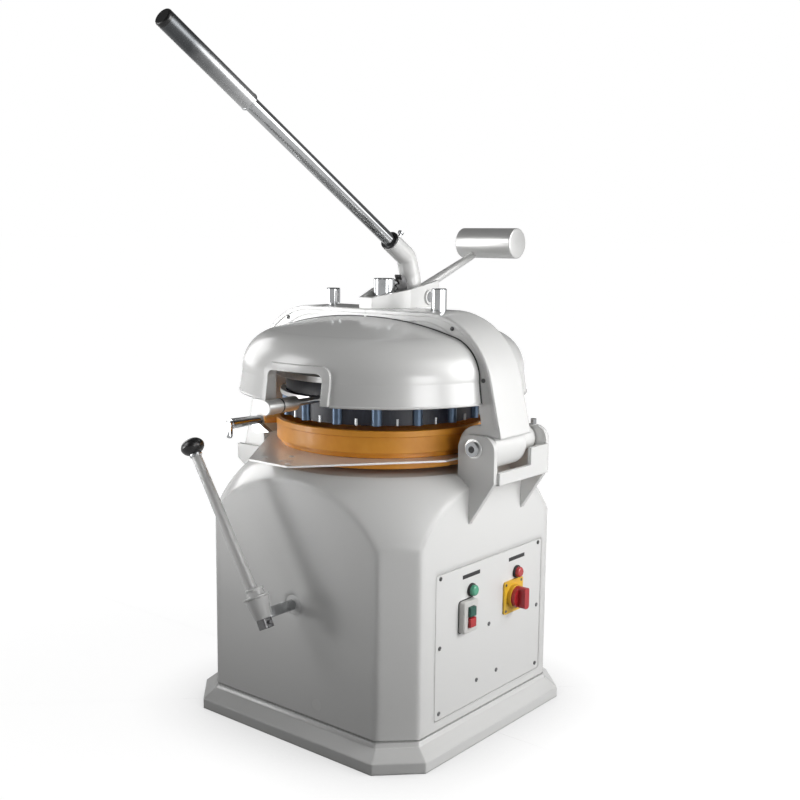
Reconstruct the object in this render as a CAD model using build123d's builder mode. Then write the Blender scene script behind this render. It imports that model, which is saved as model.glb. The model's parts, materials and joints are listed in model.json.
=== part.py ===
import os
from math import acos, atan2, cos, hypot, pi, radians, sin, tan

from build123d import *

# Dough divider rounder, millimetres. +Z is up, -Y is the operator's side, +X the switch side.
# The origin is the centre of the plinth's underside.

# General clearances
seat_gap = 0.3
running_gap = 0.05
screw_head_height = 2.5
screw_head_radius = 4.5

# Plinth and housing
plinth_width = 640.0
plinth_cut = 76.0
band_height = 22.0
skirt_height = 21.0
skirt_slope = 50.0
floor_thickness = 8.0
plinth_wall = 22.0
housing_width = 582.0
housing_cut = 62.0
housing_edge_radius = 7.0
housing_wall = 6.0
deck_height = 562.0
shoulder_start = deck_height - 130.0
shoulder_mid_radius = 336.0
shoulder_mid_height = deck_height - 62.0
deck_radius = 268.0
deck_hole_radius = 72.0

housing_base = band_height + skirt_height
housing_half = housing_width / 2
housing_corner = hypot(housing_half, housing_half - housing_cut) + 2.0

# Side panel with the switches, on the +X face
panel_thickness = 3.0
panel_front = -181.0
panel_back = 205.0
panel_bottom = 75.0
panel_top = 376.0
panel_corner = 6.0
panel_seam = 1.2
panel_lip = 14.0
panel_screw_inset = 14.0
panel_middle_screws = ((5.0, 231.0), (-37.0, 120.0), (36.0, 120.0))
label_length = 60.0
label_height = 8.0
label_thickness = 0.8
label_rise = 32.0
lamp_height = 322.0
green_lamp_y = -62.0
red_lamp_y = 106.0
bezel_radius = 14.0
bezel_depth = 5.0
lens_radius = 11.5
lens_depth = 9.0
station_y = -79.0
station_z = 263.0
station_width = 54.0
station_height = 84.0
station_depth = 14.0
station_corner = 6.0
button_width = 27.0
button_height = 25.0
button_pitch = 29.0
button_proud = 6.0
button_travel = 4.0
button_gap = 0.6
isolator_y = 92.0
isolator_z = 272.0
isolator_size = 72.0
isolator_thickness = 4.0
isolator_collar_radius = 26.0
isolator_collar_depth = 8.0
isolator_knob_radius = 23.0
isolator_grip_width = 17.0
isolator_knob_depth = 26.0
isolator_stem_radius = 7.0

face_x = housing_half
panel_inner_x = face_x - panel_thickness
panel_mid_y = (panel_front + panel_back) / 2
panel_mid_z = (panel_bottom + panel_top) / 2
panel_length = panel_back - panel_front
panel_rise = panel_top - panel_bottom

# Head geometry: an arch straddling the machine's axis, with a dome on each side
arch_front = -62.0
arch_back = 46.0
arch_top = deck_height + 322.0
arch_flat = 160.0
arch_crown = 26.0
arch_shoulder_x = 283.0
arch_shoulder_z = deck_height + 274.0
arch_side_x = 330.0
arch_side_z = deck_height + 190.0
leg_outer_x = 356.0
leg_inner_x = 311.0
leg_level = deck_height + 80.0
leg_wall = 34.0
left_foot_outer = 384.0
left_foot_inner = 314.0
left_foot_z = deck_height - 37.0
dome_rim_radius = 314.0
dome_rim_z = deck_height + 146.0
dome_side_radius = 308.0
dome_side_z = deck_height + 190.0
dome_bend_radius = 291.0
dome_bend_z = deck_height + 244.0
dome_turn_radius = 240.0
dome_turn_z = deck_height + 276.0
dome_slope_radius = 125.0
dome_slope_z = deck_height + 300.0
dome_top_z = deck_height + 306.0
dome_wall = 3.0
window_x = 24.0
window_width = 139.0
window_top = deck_height + 208.0
window_corner = 14.0
window_bead = 15.0
window_bead_proud = 5.0
window_reveal = 34.0
window_reveal_wall = 4.0

# Hinge on the +X side, axis along Y
hinge_x = 300.0
hinge_z = deck_height + 56.0
hinge_pin_radius = 12.0
knuckle_radius = 46.0
knuckle_gap = 4.0
barrel_radius = 26.0
ear_thickness = 12.0
ear_left = 262.0
ear_right = 350.0
ear_top = deck_height + 84.0
ear_corner = 29.0
gusset_tip_z = deck_height - 100.0
gusset_turn_z = deck_height - 10.0
bracket_back = 128.0
side_plate_thickness = 8.0
side_plate_low = deck_height - 14.0
side_plate_front_top = deck_height + 12.0
side_plate_back_top = deck_height + 48.0
hinge_side_gap = 2.0
pin_head_radius = 15.0
pin_head_length = 8.0
stop_bolt_radius = 7.0
stop_bolt_length = 12.0

# Seat and clamp on the -X side
seat_thickness = 14.0
seat_margin = 8.0
seat_lip = 20.0
seat_gusset_z = deck_height - 122.0
seat_rib = 10.0
clamp_x = -328.0
clamp_z = deck_height + 46.0
clamp_radius = 10.0
clamp_sink = 28.0
clamp_reach = 70.0
clamp_block = 28.0
clamp_tip_length = 30.0
clamp_dog_length = 46.0
clamp_dog_drop = 24.0
clamp_dog_width = 24.0
clamp_dog_thickness = 14.0

# Dividing head: fixed drum, sliding knives and pistons
drum_bottom = deck_height + 95.5
drum_outer = 214.0
drum_wall = 7.0
post_count = 16
post_radius = 10.5
post_start = 14.0
post_top = deck_height + 138.0
drum_pin_radius = 3.5
drum_pin_height = 14.0
head_plate_z = deck_height + 180.0
head_plate_thickness = 12.0
head_plate_radius = 236.0
head_beam_depth = 84.0
knife_gap = 2.0
blade = 3.0
ring_radii = (75.0, 140.0)
ring_counts = (3, 9, 18)
blade_depth = 42.5
knife_plate_thickness = 6.0
piston_gap = 1.5
piston_height = 21.0
piston_rise = 1.5
stem_width = 10.0
stem_clearance = 1.5
ram_plate_z = deck_height + 162.0
ram_plate_thickness = 8.0
ram_plate_radius = 196.0
rod_radius = 23.0
rod_top = deck_height + 385.0
side_column_x = 150.0
column_radius = 16.5
column_top = deck_height + 368.0
knob_radius = 15.5
knob_length = 33.0
knob_top = deck_height + 359.0
knob_shank_radius = 10.0
screw_end_z = deck_height + 198.0
lock_ring_outer = 226.0
lock_ring_gap = 2.0
lock_ring_height = 9.0
handle_x = 23.0
handle_radius = 14.5
handle_start = 302.0
handle_length = 90.0
handle_groove = 4.0
handle_groove_depth = 1.5
handle_stem_radius = 7.0

# Press lever, in the plane X = 0
pivot_y = 90.0
pivot_z = deck_height + 344.0
pivot_radius = 12.0
gear_module = 4.0
gear_teeth = 30
gear_pressure_angle = 20.0
gear_backlash = 0.5
sector_first = -1
sector_last = 4
sector_half_width = 9.0
rack_half_width = 9.0
rack_below = 24.0
rack_top_gap = 4.0
mesh_gap = 2.5
hub_radius = 20.0
hub_side_gap = 1.0
arm_base_radius = 32.0
arm_base_rise = 6.0
arm_half_width = 20.0
lever_bracket_wall = 8.0
bracket_nose_half = 18.0
bracket_half = 55.0
bracket_nose_y = -62.0
bracket_flare_y = 23.0
bracket_end_y = 124.0
bracket_nose_height = 24.0
bracket_end_height = 58.0
boss_radius = 17.0
boss_length = 4.0
lever_elevation = 31.5
socket_y = 18.7
socket_z = deck_height + 466.0
socket_radius = 22.0
socket_length = 58.0
tube_radius = 14.5
tube_bore = 11.5
tube_inset = 44.0
grip_start = 487.0
grip_end = 712.0
grip_radius = 18.0
plug_length = 9.0
clamp_screw_radius = 6.5
clamp_screw_length = 15.0
weight_y = 352.0
weight_z = deck_height + 463.0
weight_radius = 34.0
weight_length = 160.0
weight_arm_angle = 20.5
weight_arm_root = 11.0
weight_arm_tip = 8.0

# Rounding lever on the -Y face
round_x = 6.0
round_z = 286.0
round_shaft_radius = 8.0
round_shaft_reach = 87.0
round_shaft_inner = 70.0
round_lean = 32.8
hub_cup_radius = 21.0
hub_cup_below = 34.0
hub_cup_above = 30.0
collar_radius = 17.0
collar_height = 6.0
collar_pitch = 12.0
round_rod_radius = 8.5
round_rod_length = 376.0
ball_radius = 25.0
ball_half_height = 16.5
bush_radius = 20.0
bush_flange = 28.0

# Orbiting table
throw = 10.0
disc_radius = 238.0
disc_bottom = deck_height + 11.0
sheet_top = deck_height + 30.0
sheet_thickness = 4.0
sheet_front = 354.0
sheet_front_half = 55.0
sheet_side = 250.0
sheet_side_front = 98.0
sheet_side_back = 60.0
sheet_back = 250.0
sheet_back_half = 120.0
sheet_corner = 8.0
sheet_hole_radius = 7.0
plate_foot_radius = 224.0
plate_foot_height = 7.0
plate_base_radius = 234.0
plate_lip_radius = 238.0
plate_lip_height = 13.0
plate_top = deck_height + 93.0
plate_inner_radius = 226.0
plate_floor = 7.0
tab_azimuth = 229.0
tab_reach = 262.0
tab_width = 46.0
tab_thickness = 12.0

# Drive inside the housing
shaft_radius = 20.0
shaft_bottom = 318.0
crank_radius = 60.0
crank_bottom = deck_height - 4.0
eccentric_radius = 32.0
eccentric_top_gap = 2.0
bearing_outer = 55.0
bearing_flange = 92.0
bearing_flange_thickness = 12.0
bearing_bottom = deck_height - 142.0
pulley_radius = 110.0
pulley_z = 330.0
pulley_width = 26.0
pulley_rim = 8.0
pulley_rim_width = 3.0
motor_pulley_radius = 32.0
motor_x = -60.0
motor_y = 178.0
motor_radius = 72.0
motor_height = 210.0
motor_foot = 18.0
motor_shaft_radius = 11.0
belt_thickness = 6.0
belt_gap = 0.5

# Derived values
pitch_radius = gear_module * gear_teeth / 2
rack_pitch_y = pivot_y - pitch_radius
rack_pitch = pi * gear_module
lever_dir = Vector(0, -cos(radians(lever_elevation)), sin(radians(lever_elevation)))
lever_up = Vector(0, sin(radians(lever_elevation)), cos(radians(lever_elevation)))
socket_rim = Vector(0, socket_y, socket_z)
round_face_y = -housing_half
round_tip_y = round_face_y - round_shaft_reach
round_dir = Vector(-sin(radians(round_lean)), 0, cos(radians(round_lean)))
shaft_y = throw
sheet_bottom = sheet_top - sheet_thickness
plate_foot_z = sheet_top
plate_body_z = plate_foot_z + plate_foot_height
plate_floor_top = plate_body_z + plate_floor
knife_outer = drum_outer - drum_wall - knife_gap
knife_bottom = drum_bottom
knife_plate_z = knife_bottom + blade_depth
piston_bottom = knife_bottom + piston_rise
stem_hole = stem_width + 2 * stem_clearance
ring_edges = (0.0,) + ring_radii + (knife_outer - blade / 2,)

os.makedirs("parts", exist_ok=True)


def finish(builder, name):
    builder.part.label = name
    export_step(builder.part, f"parts/{name}.step")


# Square with cut corners, drawn in the active sketch
def octagon(width, cut):
    half = width / 2
    edge = half - cut
    Polygon(
        (edge, -half), (half, -edge), (half, edge), (edge, half),
        (-edge, half), (-half, edge), (-half, -edge), (-edge, -half),
        align=None,
    )


# Half section of the housing's turned shoulder
def shoulder_section(inset):
    with BuildLine() as section:
        start = (housing_corner - inset, shoulder_start)
        middle = (shoulder_mid_radius - inset, shoulder_mid_height - inset)
        end = (deck_radius - inset, deck_height - inset)
        Polyline((0, deck_height - inset), (0, housing_base), (start[0], housing_base), start)
        ThreePointArc(start, middle, end)
        Line(end, (0, deck_height - inset))
    make_face(section.edges())


# Half section of the dome's bowl
def dome_section(inset):
    with BuildLine() as section:
        top = (0, dome_top_z - inset)
        rim = (dome_rim_radius - inset, dome_rim_z)
        side = (dome_side_radius - inset, dome_side_z)
        bend = (dome_bend_radius - inset * 0.8, dome_bend_z - inset * 0.6)
        turn = (dome_turn_radius - inset * 0.4, dome_turn_z - inset)
        slope = (dome_slope_radius, dome_slope_z - inset)
        Polyline(top, (0, dome_rim_z), rim, side)
        ThreePointArc(side, bend, turn)
        ThreePointArc(turn, slope, top)
    make_face(section.edges())


# Corner places of the arch's outline over its crown, set in by the wall
def arch_edge(inset):
    crown = arch_top - min(inset, arch_crown)
    flat = arch_flat - inset * 1.6
    shoulder = (arch_shoulder_x - inset * 0.75, arch_shoulder_z - inset * 0.55)
    side = (arch_side_x - inset, arch_side_z - inset * 0.35)
    return crown, flat, shoulder, side


# Round bar between two points
def bar(start, end, radius, mode=Mode.ADD):
    axis = end - start
    with BuildSketch(Plane(origin=start, z_dir=axis)) as section:
        Circle(radius)
    extrude(section.sketch, amount=axis.length, mode=mode)


# Plinth: flat band, sloping skirt, open tray inside
with BuildPart() as base_plinth:
    with BuildSketch():
        octagon(plinth_width, plinth_cut)
    extrude(amount=band_height)
    with BuildSketch(Plane.XY.offset(band_height)):
        octagon(plinth_width, plinth_cut)
    extrude(amount=skirt_height, taper=skirt_slope)
    with BuildSketch(Plane.XY.offset(floor_thickness)):
        octagon(housing_width - 2 * plinth_wall, housing_cut)
    extrude(amount=housing_base, mode=Mode.SUBTRACT)
finish(base_plinth, "base_plinth")

# Housing block: the cut square column meets a turned shoulder
with BuildPart() as housing_block:
    with BuildSketch(Plane.XY.offset(housing_base)) as column:
        octagon(housing_width, housing_cut)
        fillet(column.vertices(), housing_edge_radius)
    extrude(amount=deck_height - housing_base)
    with BuildSketch(Plane.XZ):
        shoulder_section(0)
    revolve(axis=Axis.Z, mode=Mode.INTERSECT)

with BuildPart() as housing_core:
    with BuildSketch(Plane.XY.offset(housing_base)):
        octagon(housing_width - 2 * housing_wall, housing_cut)
    extrude(amount=deck_height - housing_wall - housing_base)
    with BuildSketch(Plane.XZ):
        shoulder_section(housing_wall)
    revolve(axis=Axis.Z, mode=Mode.INTERSECT)

with BuildPart() as body_housing:
    add(housing_block.part)
    add(housing_core.part, mode=Mode.SUBTRACT)
    with BuildSketch(Plane.XY.offset(deck_height)):
        Circle(deck_hole_radius)
    extrude(amount=-2 * housing_wall, mode=Mode.SUBTRACT)
    with BuildSketch(Plane.YZ.offset(face_x)):
        with Locations((panel_mid_y, panel_mid_z)):
            RectangleRounded(panel_length + 2 * panel_seam, panel_rise + 2 * panel_seam, panel_corner)
    extrude(amount=-panel_thickness, mode=Mode.SUBTRACT)
    with BuildSketch(Plane.YZ.offset(face_x)):
        with Locations((panel_mid_y, panel_mid_z)):
            RectangleRounded(panel_length - 2 * panel_lip, panel_rise - 2 * panel_lip, panel_corner)
    extrude(amount=-2 * housing_wall, mode=Mode.SUBTRACT)
    with BuildSketch(Plane.XZ.offset(housing_half)):
        with Locations((round_x, round_z)):
            Circle(bush_radius)
    extrude(amount=-2 * housing_wall, mode=Mode.SUBTRACT)
finish(body_housing, "body_housing")

# Side panel and what is screwed to it
lamp_places = ((green_lamp_y, lamp_height), (red_lamp_y, lamp_height))
screw_columns = (panel_front + panel_screw_inset, panel_back - panel_screw_inset)
screw_rows = (panel_top - panel_screw_inset / 2, panel_mid_z, panel_bottom + panel_screw_inset)
edge_screws = tuple((y, z) for y in screw_columns for z in screw_rows)

with BuildPart() as side_panel:
    with BuildSketch(Plane.YZ.offset(panel_inner_x)):
        with Locations((panel_mid_y, panel_mid_z)):
            RectangleRounded(panel_length, panel_rise, panel_corner)
    extrude(amount=panel_thickness)
finish(side_panel, "side_panel")

with BuildPart() as panel_screws:
    with BuildSketch(Plane.YZ.offset(face_x)):
        with Locations(*edge_screws, *panel_middle_screws):
            Circle(screw_head_radius)
    extrude(amount=screw_head_height)
finish(panel_screws, "panel_screws")

with BuildPart() as label_plates:
    with BuildSketch(Plane.YZ.offset(face_x)):
        with Locations(*((y, z + label_rise) for y, z in lamp_places)):
            Rectangle(label_length, label_height)
    extrude(amount=label_thickness)
finish(label_plates, "label_plates")

with BuildPart() as lamp_bezels:
    with BuildSketch(Plane.YZ.offset(face_x)):
        with Locations(*lamp_places):
            Circle(bezel_radius)
    extrude(amount=bezel_depth)
finish(lamp_bezels, "lamp_bezels")


# Domed lens standing on its bezel
def lamp_lens(place):
    with BuildSketch(Plane.YZ.offset(face_x + bezel_depth)) as section:
        with Locations(place):
            Circle(lens_radius)
    extrude(section.sketch, amount=lens_depth)
    outer_face = faces().sort_by(Axis.X)[-1]
    fillet(outer_face.edges(), lens_depth * 0.6)


with BuildPart() as green_lens:
    lamp_lens(lamp_places[0])
finish(green_lens, "green_lens")

with BuildPart() as red_lens:
    lamp_lens(lamp_places[1])
finish(red_lens, "red_lens")

# Start and stop station with two travelling push buttons
button_places = (
    (station_y, station_z + button_pitch / 2),
    (station_y, station_z - button_pitch / 2),
)
button_floor = face_x + station_depth - button_travel - 2.0

with BuildPart() as button_station:
    with BuildSketch(Plane.YZ.offset(face_x)):
        with Locations((station_y, station_z)):
            RectangleRounded(station_width, station_height, station_corner)
    extrude(amount=station_depth)
    station_front = faces().sort_by(Axis.X)[-1]
    chamfer(station_front.edges(), 2.0)
    with BuildSketch(Plane.YZ.offset(button_floor)):
        with Locations(*button_places):
            Rectangle(button_width + 2 * button_gap, button_height + 2 * button_gap)
    extrude(amount=station_depth, mode=Mode.SUBTRACT)
finish(button_station, "button_station")


# Square push button whose foot stands its travel above the station's floor
def push_button(place):
    with BuildSketch(Plane.YZ.offset(button_floor + button_travel + seat_gap)) as section:
        with Locations(place):
            Rectangle(button_width, button_height)
    extrude(section.sketch, amount=button_proud + 2.0 - seat_gap)
    outer_face = faces().sort_by(Axis.X)[-1]
    chamfer(outer_face.edges(), 1.5)


with BuildPart() as start_button:
    push_button(button_places[0])
finish(start_button, "start_button")

with BuildPart() as stop_button:
    push_button(button_places[1])
finish(stop_button, "stop_button")

# Mains isolator: square plate with a round collar, and a rotary knob with a grip bar
isolator_place = (isolator_y, isolator_z)
isolator_front = face_x + isolator_thickness + isolator_collar_depth

with BuildPart() as isolator_plate:
    with BuildSketch(Plane.YZ.offset(face_x)):
        with Locations(isolator_place):
            RectangleRounded(isolator_size, isolator_size, station_corner)
    extrude(amount=isolator_thickness)
    with BuildSketch(Plane.YZ.offset(face_x + isolator_thickness)):
        with Locations(isolator_place):
            Circle(isolator_collar_radius)
    extrude(amount=isolator_collar_depth)
    with BuildSketch(Plane.YZ.offset(isolator_front)):
        with Locations(isolator_place):
            Circle(isolator_stem_radius + running_gap)
    extrude(amount=-isolator_collar_depth, mode=Mode.SUBTRACT)
finish(isolator_plate, "isolator_plate")

with BuildPart() as isolator_knob:
    with BuildSketch(Plane.YZ.offset(isolator_front - isolator_collar_depth + seat_gap)):
        with Locations(isolator_place):
            Circle(isolator_stem_radius)
    extrude(amount=isolator_collar_depth)
    with BuildSketch(Plane.YZ.offset(isolator_front + seat_gap)):
        with Locations(isolator_place):
            Circle(isolator_knob_radius)
    extrude(amount=isolator_knob_depth * 0.35)
    with BuildSketch(Plane.YZ.offset(isolator_front + seat_gap)):
        with Locations(isolator_place):
            RectangleRounded(isolator_grip_width, 2 * isolator_knob_radius, isolator_grip_width * 0.35)
    extrude(amount=isolator_knob_depth)
finish(isolator_knob, "isolator_knob")

# Arch: one cast leg on each side, joined over the crown, with a hinge knuckle on the right leg
with BuildPart() as arch_frame:
    with BuildSketch(Plane.XZ.offset(-arch_front)):
        with BuildLine():
            crown, flat, shoulder, side = arch_edge(0)
            Polyline((leg_outer_x, leg_level), side)
            ThreePointArc(side, shoulder, (flat, crown))
            Line((flat, crown), (-flat, crown))
            ThreePointArc((-flat, crown), (-shoulder[0], shoulder[1]), (-side[0], side[1]))
            Polyline((-side[0], side[1]), (-leg_outer_x, leg_level), (-left_foot_outer, left_foot_z))
            Line((-left_foot_outer, left_foot_z), (-left_foot_inner, left_foot_z))
            in_crown, in_flat, in_shoulder, in_side = arch_edge(leg_wall)
            Polyline(
                (-left_foot_inner, left_foot_z), (-leg_inner_x, leg_level), (-in_side[0], in_side[1])
            )
            ThreePointArc(
                (-in_side[0], in_side[1]), (-in_shoulder[0], in_shoulder[1]), (-in_flat, in_crown)
            )
            Line((-in_flat, in_crown), (in_flat, in_crown))
            ThreePointArc((in_flat, in_crown), in_shoulder, in_side)
            Polyline(in_side, (leg_inner_x, leg_level), (leg_outer_x, leg_level))
        make_face()
    extrude(amount=arch_front - arch_back)
    with BuildSketch(Plane.XZ.offset(-arch_front)):
        with Locations((hinge_x, hinge_z)):
            Circle(knuckle_radius)
    extrude(amount=arch_front - arch_back)
    with BuildSketch(Plane.XZ.offset(-arch_back)):
        with Locations((hinge_x, hinge_z)):
            Circle(barrel_radius)
    extrude(amount=-(bracket_back - ear_thickness - hinge_side_gap - arch_back))
    with BuildSketch(Plane.XZ.offset(-arch_front)):
        with Locations((hinge_x, hinge_z)):
            Circle(hinge_pin_radius + running_gap)
    extrude(amount=arch_front - bracket_back, mode=Mode.SUBTRACT)
    with BuildSketch(Plane.XY.offset(arch_top + arch_crown)):
        Circle(rod_radius + running_gap)
        with Locations((0, arch_back / 2)):
            Rectangle(2 * (sector_half_width + mesh_gap), arch_back)
        with Locations((side_column_x, 0)):
            Circle(column_radius + running_gap)
        with Locations((-side_column_x, 0)):
            Circle(knob_shank_radius + running_gap)
    extrude(amount=-3 * arch_crown, mode=Mode.SUBTRACT)
    with BuildSketch(Plane.XZ.offset(-arch_front)):
        with Locations((clamp_x, clamp_z)):
            Circle(clamp_radius + running_gap)
    extrude(amount=-clamp_sink, mode=Mode.SUBTRACT)
finish(arch_frame, "arch_frame")

# Domes: one turned bowl, cut where the arch stands


# Notch of the dome's window above a given height, grown by a margin, from the front inwards
def window_block(margin, bottom, depth):
    height = window_top + margin - bottom
    with BuildSketch(Plane.XZ.offset(dome_rim_radius + window_bead_proud)) as opening:
        with Locations((window_x, bottom + height / 2)):
            Rectangle(window_width + 2 * margin, height)
        fillet(opening.vertices().group_by(Axis.Y)[-1], window_corner + margin / 2)
    return extrude(opening.sketch, amount=-depth, mode=Mode.PRIVATE)


# Solid bowl turned from the dome's section
def bowl(inset):
    with BuildSketch(Plane.XZ) as half:
        dome_section(inset)
    return revolve(half.sketch, axis=Axis.Z, mode=Mode.PRIVATE)


front_side = Plane.XZ.offset(-arch_front)
back_side = Plane.XZ.offset(-arch_back)

with BuildPart() as window_frame:
    add(window_block(window_bead, dome_rim_z, 2 * window_reveal))
    add(bowl(-window_bead_proud), mode=Mode.INTERSECT)
    add(bowl(0), mode=Mode.SUBTRACT)
    add(window_block(window_reveal_wall, dome_rim_z, window_reveal))
    add(bowl(-window_bead_proud), mode=Mode.INTERSECT)

with BuildPart() as front_dome:
    add(bowl(0))
    add(bowl(dome_wall), mode=Mode.SUBTRACT)
    split(bisect_by=front_side, keep=Keep.TOP)
    add(window_frame.part)
    add(window_block(0, dome_rim_z - window_bead, 2 * window_reveal), mode=Mode.SUBTRACT)
finish(front_dome, "front_dome")

with BuildPart() as rear_dome:
    add(bowl(0))
    add(bowl(dome_wall), mode=Mode.SUBTRACT)
    split(bisect_by=back_side, keep=Keep.BOTTOM)
    with BuildSketch(Plane.XY.offset(dome_top_z + dome_wall)):
        Rectangle(2 * (sector_half_width + mesh_gap), 2 * (pivot_y + mesh_gap))
    extrude(amount=-5 * dome_wall, mode=Mode.SUBTRACT)
finish(rear_dome, "rear_dome")

dome_screw_places = ((234.0, dome_turn_z + 17.0), (315.0, dome_side_z - 7.0))
with BuildPart() as dome_screws:
    with BuildSketch(front_side):
        with Locations(*dome_screw_places, *((-x, z) for x, z in dome_screw_places)):
            Circle(screw_head_radius)
    extrude(amount=screw_head_height)
finish(dome_screws, "dome_screws")

# Hinge bracket: two gusseted ears with a plate between them, fitted to the housing's side
front_ear_y = arch_front - hinge_side_gap
back_ear_y = bracket_back - ear_thickness
side_plate_x = hinge_x + knuckle_radius + hinge_side_gap


# Outline of one ear with its gusset
def ear_outline():
    with BuildLine() as edge:
        Polyline(
            (face_x - housing_wall, gusset_tip_z), (face_x, gusset_tip_z), (ear_right, gusset_turn_z),
            (ear_right, ear_top), (ear_left, ear_top), (ear_left, shoulder_mid_height),
            (face_x - housing_wall, gusset_tip_z),
        )
    make_face(edge.edges())


with BuildPart() as hinge_bracket:
    with BuildSketch(Plane.XZ.offset(-front_ear_y)) as ear:
        ear_outline()
        fillet(ear.vertices().group_by(Axis.Y)[-1], ear_corner)
    extrude(amount=ear_thickness)
    with BuildSketch(Plane.XZ.offset(-back_ear_y)) as ear:
        ear_outline()
        fillet(ear.vertices().group_by(Axis.Y)[-1], ear_corner)
    extrude(amount=-ear_thickness)
    with BuildSketch(Plane.YZ.offset(side_plate_x)):
        with BuildLine():
            Polyline(
                (front_ear_y, side_plate_low), (back_ear_y, side_plate_low),
                (back_ear_y, side_plate_back_top), (arch_back + knuckle_gap, side_plate_back_top),
                (arch_back + knuckle_gap, side_plate_front_top), (front_ear_y, side_plate_front_top),
                (front_ear_y, side_plate_low),
            )
        make_face()
    extrude(amount=side_plate_thickness)
    add(housing_block.part, mode=Mode.SUBTRACT)
    with BuildSketch(Plane.XZ.offset(-front_ear_y + ear_thickness)):
        with Locations((hinge_x, hinge_z)):
            Circle(hinge_pin_radius + running_gap)
    extrude(amount=front_ear_y - ear_thickness - bracket_back, mode=Mode.SUBTRACT)
finish(hinge_bracket, "hinge_bracket")

with BuildPart() as hinge_pin:
    with BuildSketch(Plane.XZ.offset(-front_ear_y + ear_thickness)):
        with Locations((hinge_x, hinge_z)):
            Circle(hinge_pin_radius)
    extrude(amount=front_ear_y - ear_thickness - bracket_back)
    with BuildSketch(Plane.XZ.offset(-front_ear_y + ear_thickness)):
        with Locations((hinge_x, hinge_z)):
            Circle(pin_head_radius)
    extrude(amount=pin_head_length)
    with BuildSketch(Plane.XZ.offset(-bracket_back)):
        with Locations((hinge_x, hinge_z)):
            RegularPolygon(pin_head_radius, 6)
    extrude(amount=-pin_head_length)
finish(hinge_pin, "hinge_pin")

with BuildPart() as stop_bolts:
    with BuildSketch(Plane.XY.offset(ear_top)):
        with Locations((hinge_x - ear_corner / 2, back_ear_y + ear_thickness / 2),
                       (hinge_x + ear_corner / 2, back_ear_y + ear_thickness / 2)):
            RegularPolygon(stop_bolt_radius, 6)
    extrude(amount=stop_bolt_length)
finish(stop_bolts, "stop_bolts")

# Seat for the left foot of the arch: a shelf on two ribs, with a low lip before and behind the foot
seat_top = left_foot_z - seat_gap
seat_outer = left_foot_outer + seat_margin
rib_front = arch_front - hinge_side_gap
rib_back = arch_back + hinge_side_gap


# Outline of one rib under the shelf, with its lip above
def rib_outline():
    with BuildLine() as edge:
        Polyline(
            (-face_x + housing_wall, seat_gusset_z), (-face_x, seat_gusset_z),
            (-seat_outer, seat_top - seat_thickness), (-seat_outer, seat_top + seat_lip),
            (-face_x + housing_wall, seat_top + seat_lip), (-face_x + housing_wall, seat_gusset_z),
        )
    make_face(edge.edges())


with BuildPart() as lock_bracket:
    with BuildSketch(Plane.XZ.offset(-rib_front)):
        rib_outline()
    extrude(amount=seat_rib)
    with BuildSketch(Plane.XZ.offset(-rib_back)):
        rib_outline()
    extrude(amount=-seat_rib)
    with BuildSketch(Plane.XZ.offset(-rib_front)):
        with Locations(((-seat_outer - housing_half + housing_wall) / 2, seat_top - seat_thickness / 2)):
            Rectangle(seat_outer - housing_half + housing_wall, seat_thickness)
    extrude(amount=rib_front - rib_back)
    add(housing_block.part, mode=Mode.SUBTRACT)
finish(lock_bracket, "lock_bracket")

# Clamp on the left leg: a spindle with a pointed dog, and a block handle with a turned-down tip
clamp_end_y = arch_front - clamp_reach
dog_back_y = arch_front - hinge_side_gap

with BuildPart() as clamp_shaft:
    with BuildSketch(Plane.XZ.offset(-clamp_end_y)):
        with Locations((clamp_x, clamp_z)):
            Circle(clamp_radius)
    extrude(amount=-(clamp_reach + clamp_sink - seat_gap))
    with BuildSketch(Plane.XZ.offset(-dog_back_y)):
        with BuildLine():
            Polyline(
                (clamp_x, clamp_z), (clamp_x + clamp_dog_length, clamp_z - clamp_dog_drop),
                (clamp_x, clamp_z - clamp_dog_drop - clamp_dog_width / 4),
                (clamp_x - clamp_dog_width / 2, clamp_z - clamp_dog_drop / 2), (clamp_x, clamp_z),
            )
        make_face()
    extrude(amount=clamp_dog_thickness)
finish(clamp_shaft, "clamp_shaft")

with BuildPart() as clamp_handle:
    with BuildSketch(Plane.XZ.offset(-clamp_end_y)) as block:
        with Locations((clamp_x, clamp_z)):
            RectangleRounded(clamp_block, clamp_block, clamp_block / 5)
    extrude(amount=clamp_block)
    with BuildSketch(Plane.XZ.offset(-clamp_end_y + clamp_block)):
        with Locations((clamp_x - clamp_block / 4, clamp_z - clamp_tip_length / 2)):
            RectangleRounded(clamp_block / 2, clamp_tip_length + clamp_block / 2, clamp_block / 5)
    extrude(amount=-clamp_block / 3)
finish(clamp_handle, "clamp_handle")

# Boat-shaped lever bracket, hollow and open on top, standing on the arch
bracket_plan = (
    (-bracket_nose_half, bracket_nose_y), (bracket_nose_half, bracket_nose_y),
    (bracket_half, bracket_flare_y), (bracket_half, bracket_end_y),
    (-bracket_half, bracket_end_y), (-bracket_half, bracket_flare_y),
)
pivot_plane = Plane(origin=(0, pivot_y, pivot_z), x_dir=(0, 1, 0), z_dir=(1, 0, 0))
hub_half = bracket_half - lever_bracket_wall - hub_side_gap

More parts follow.
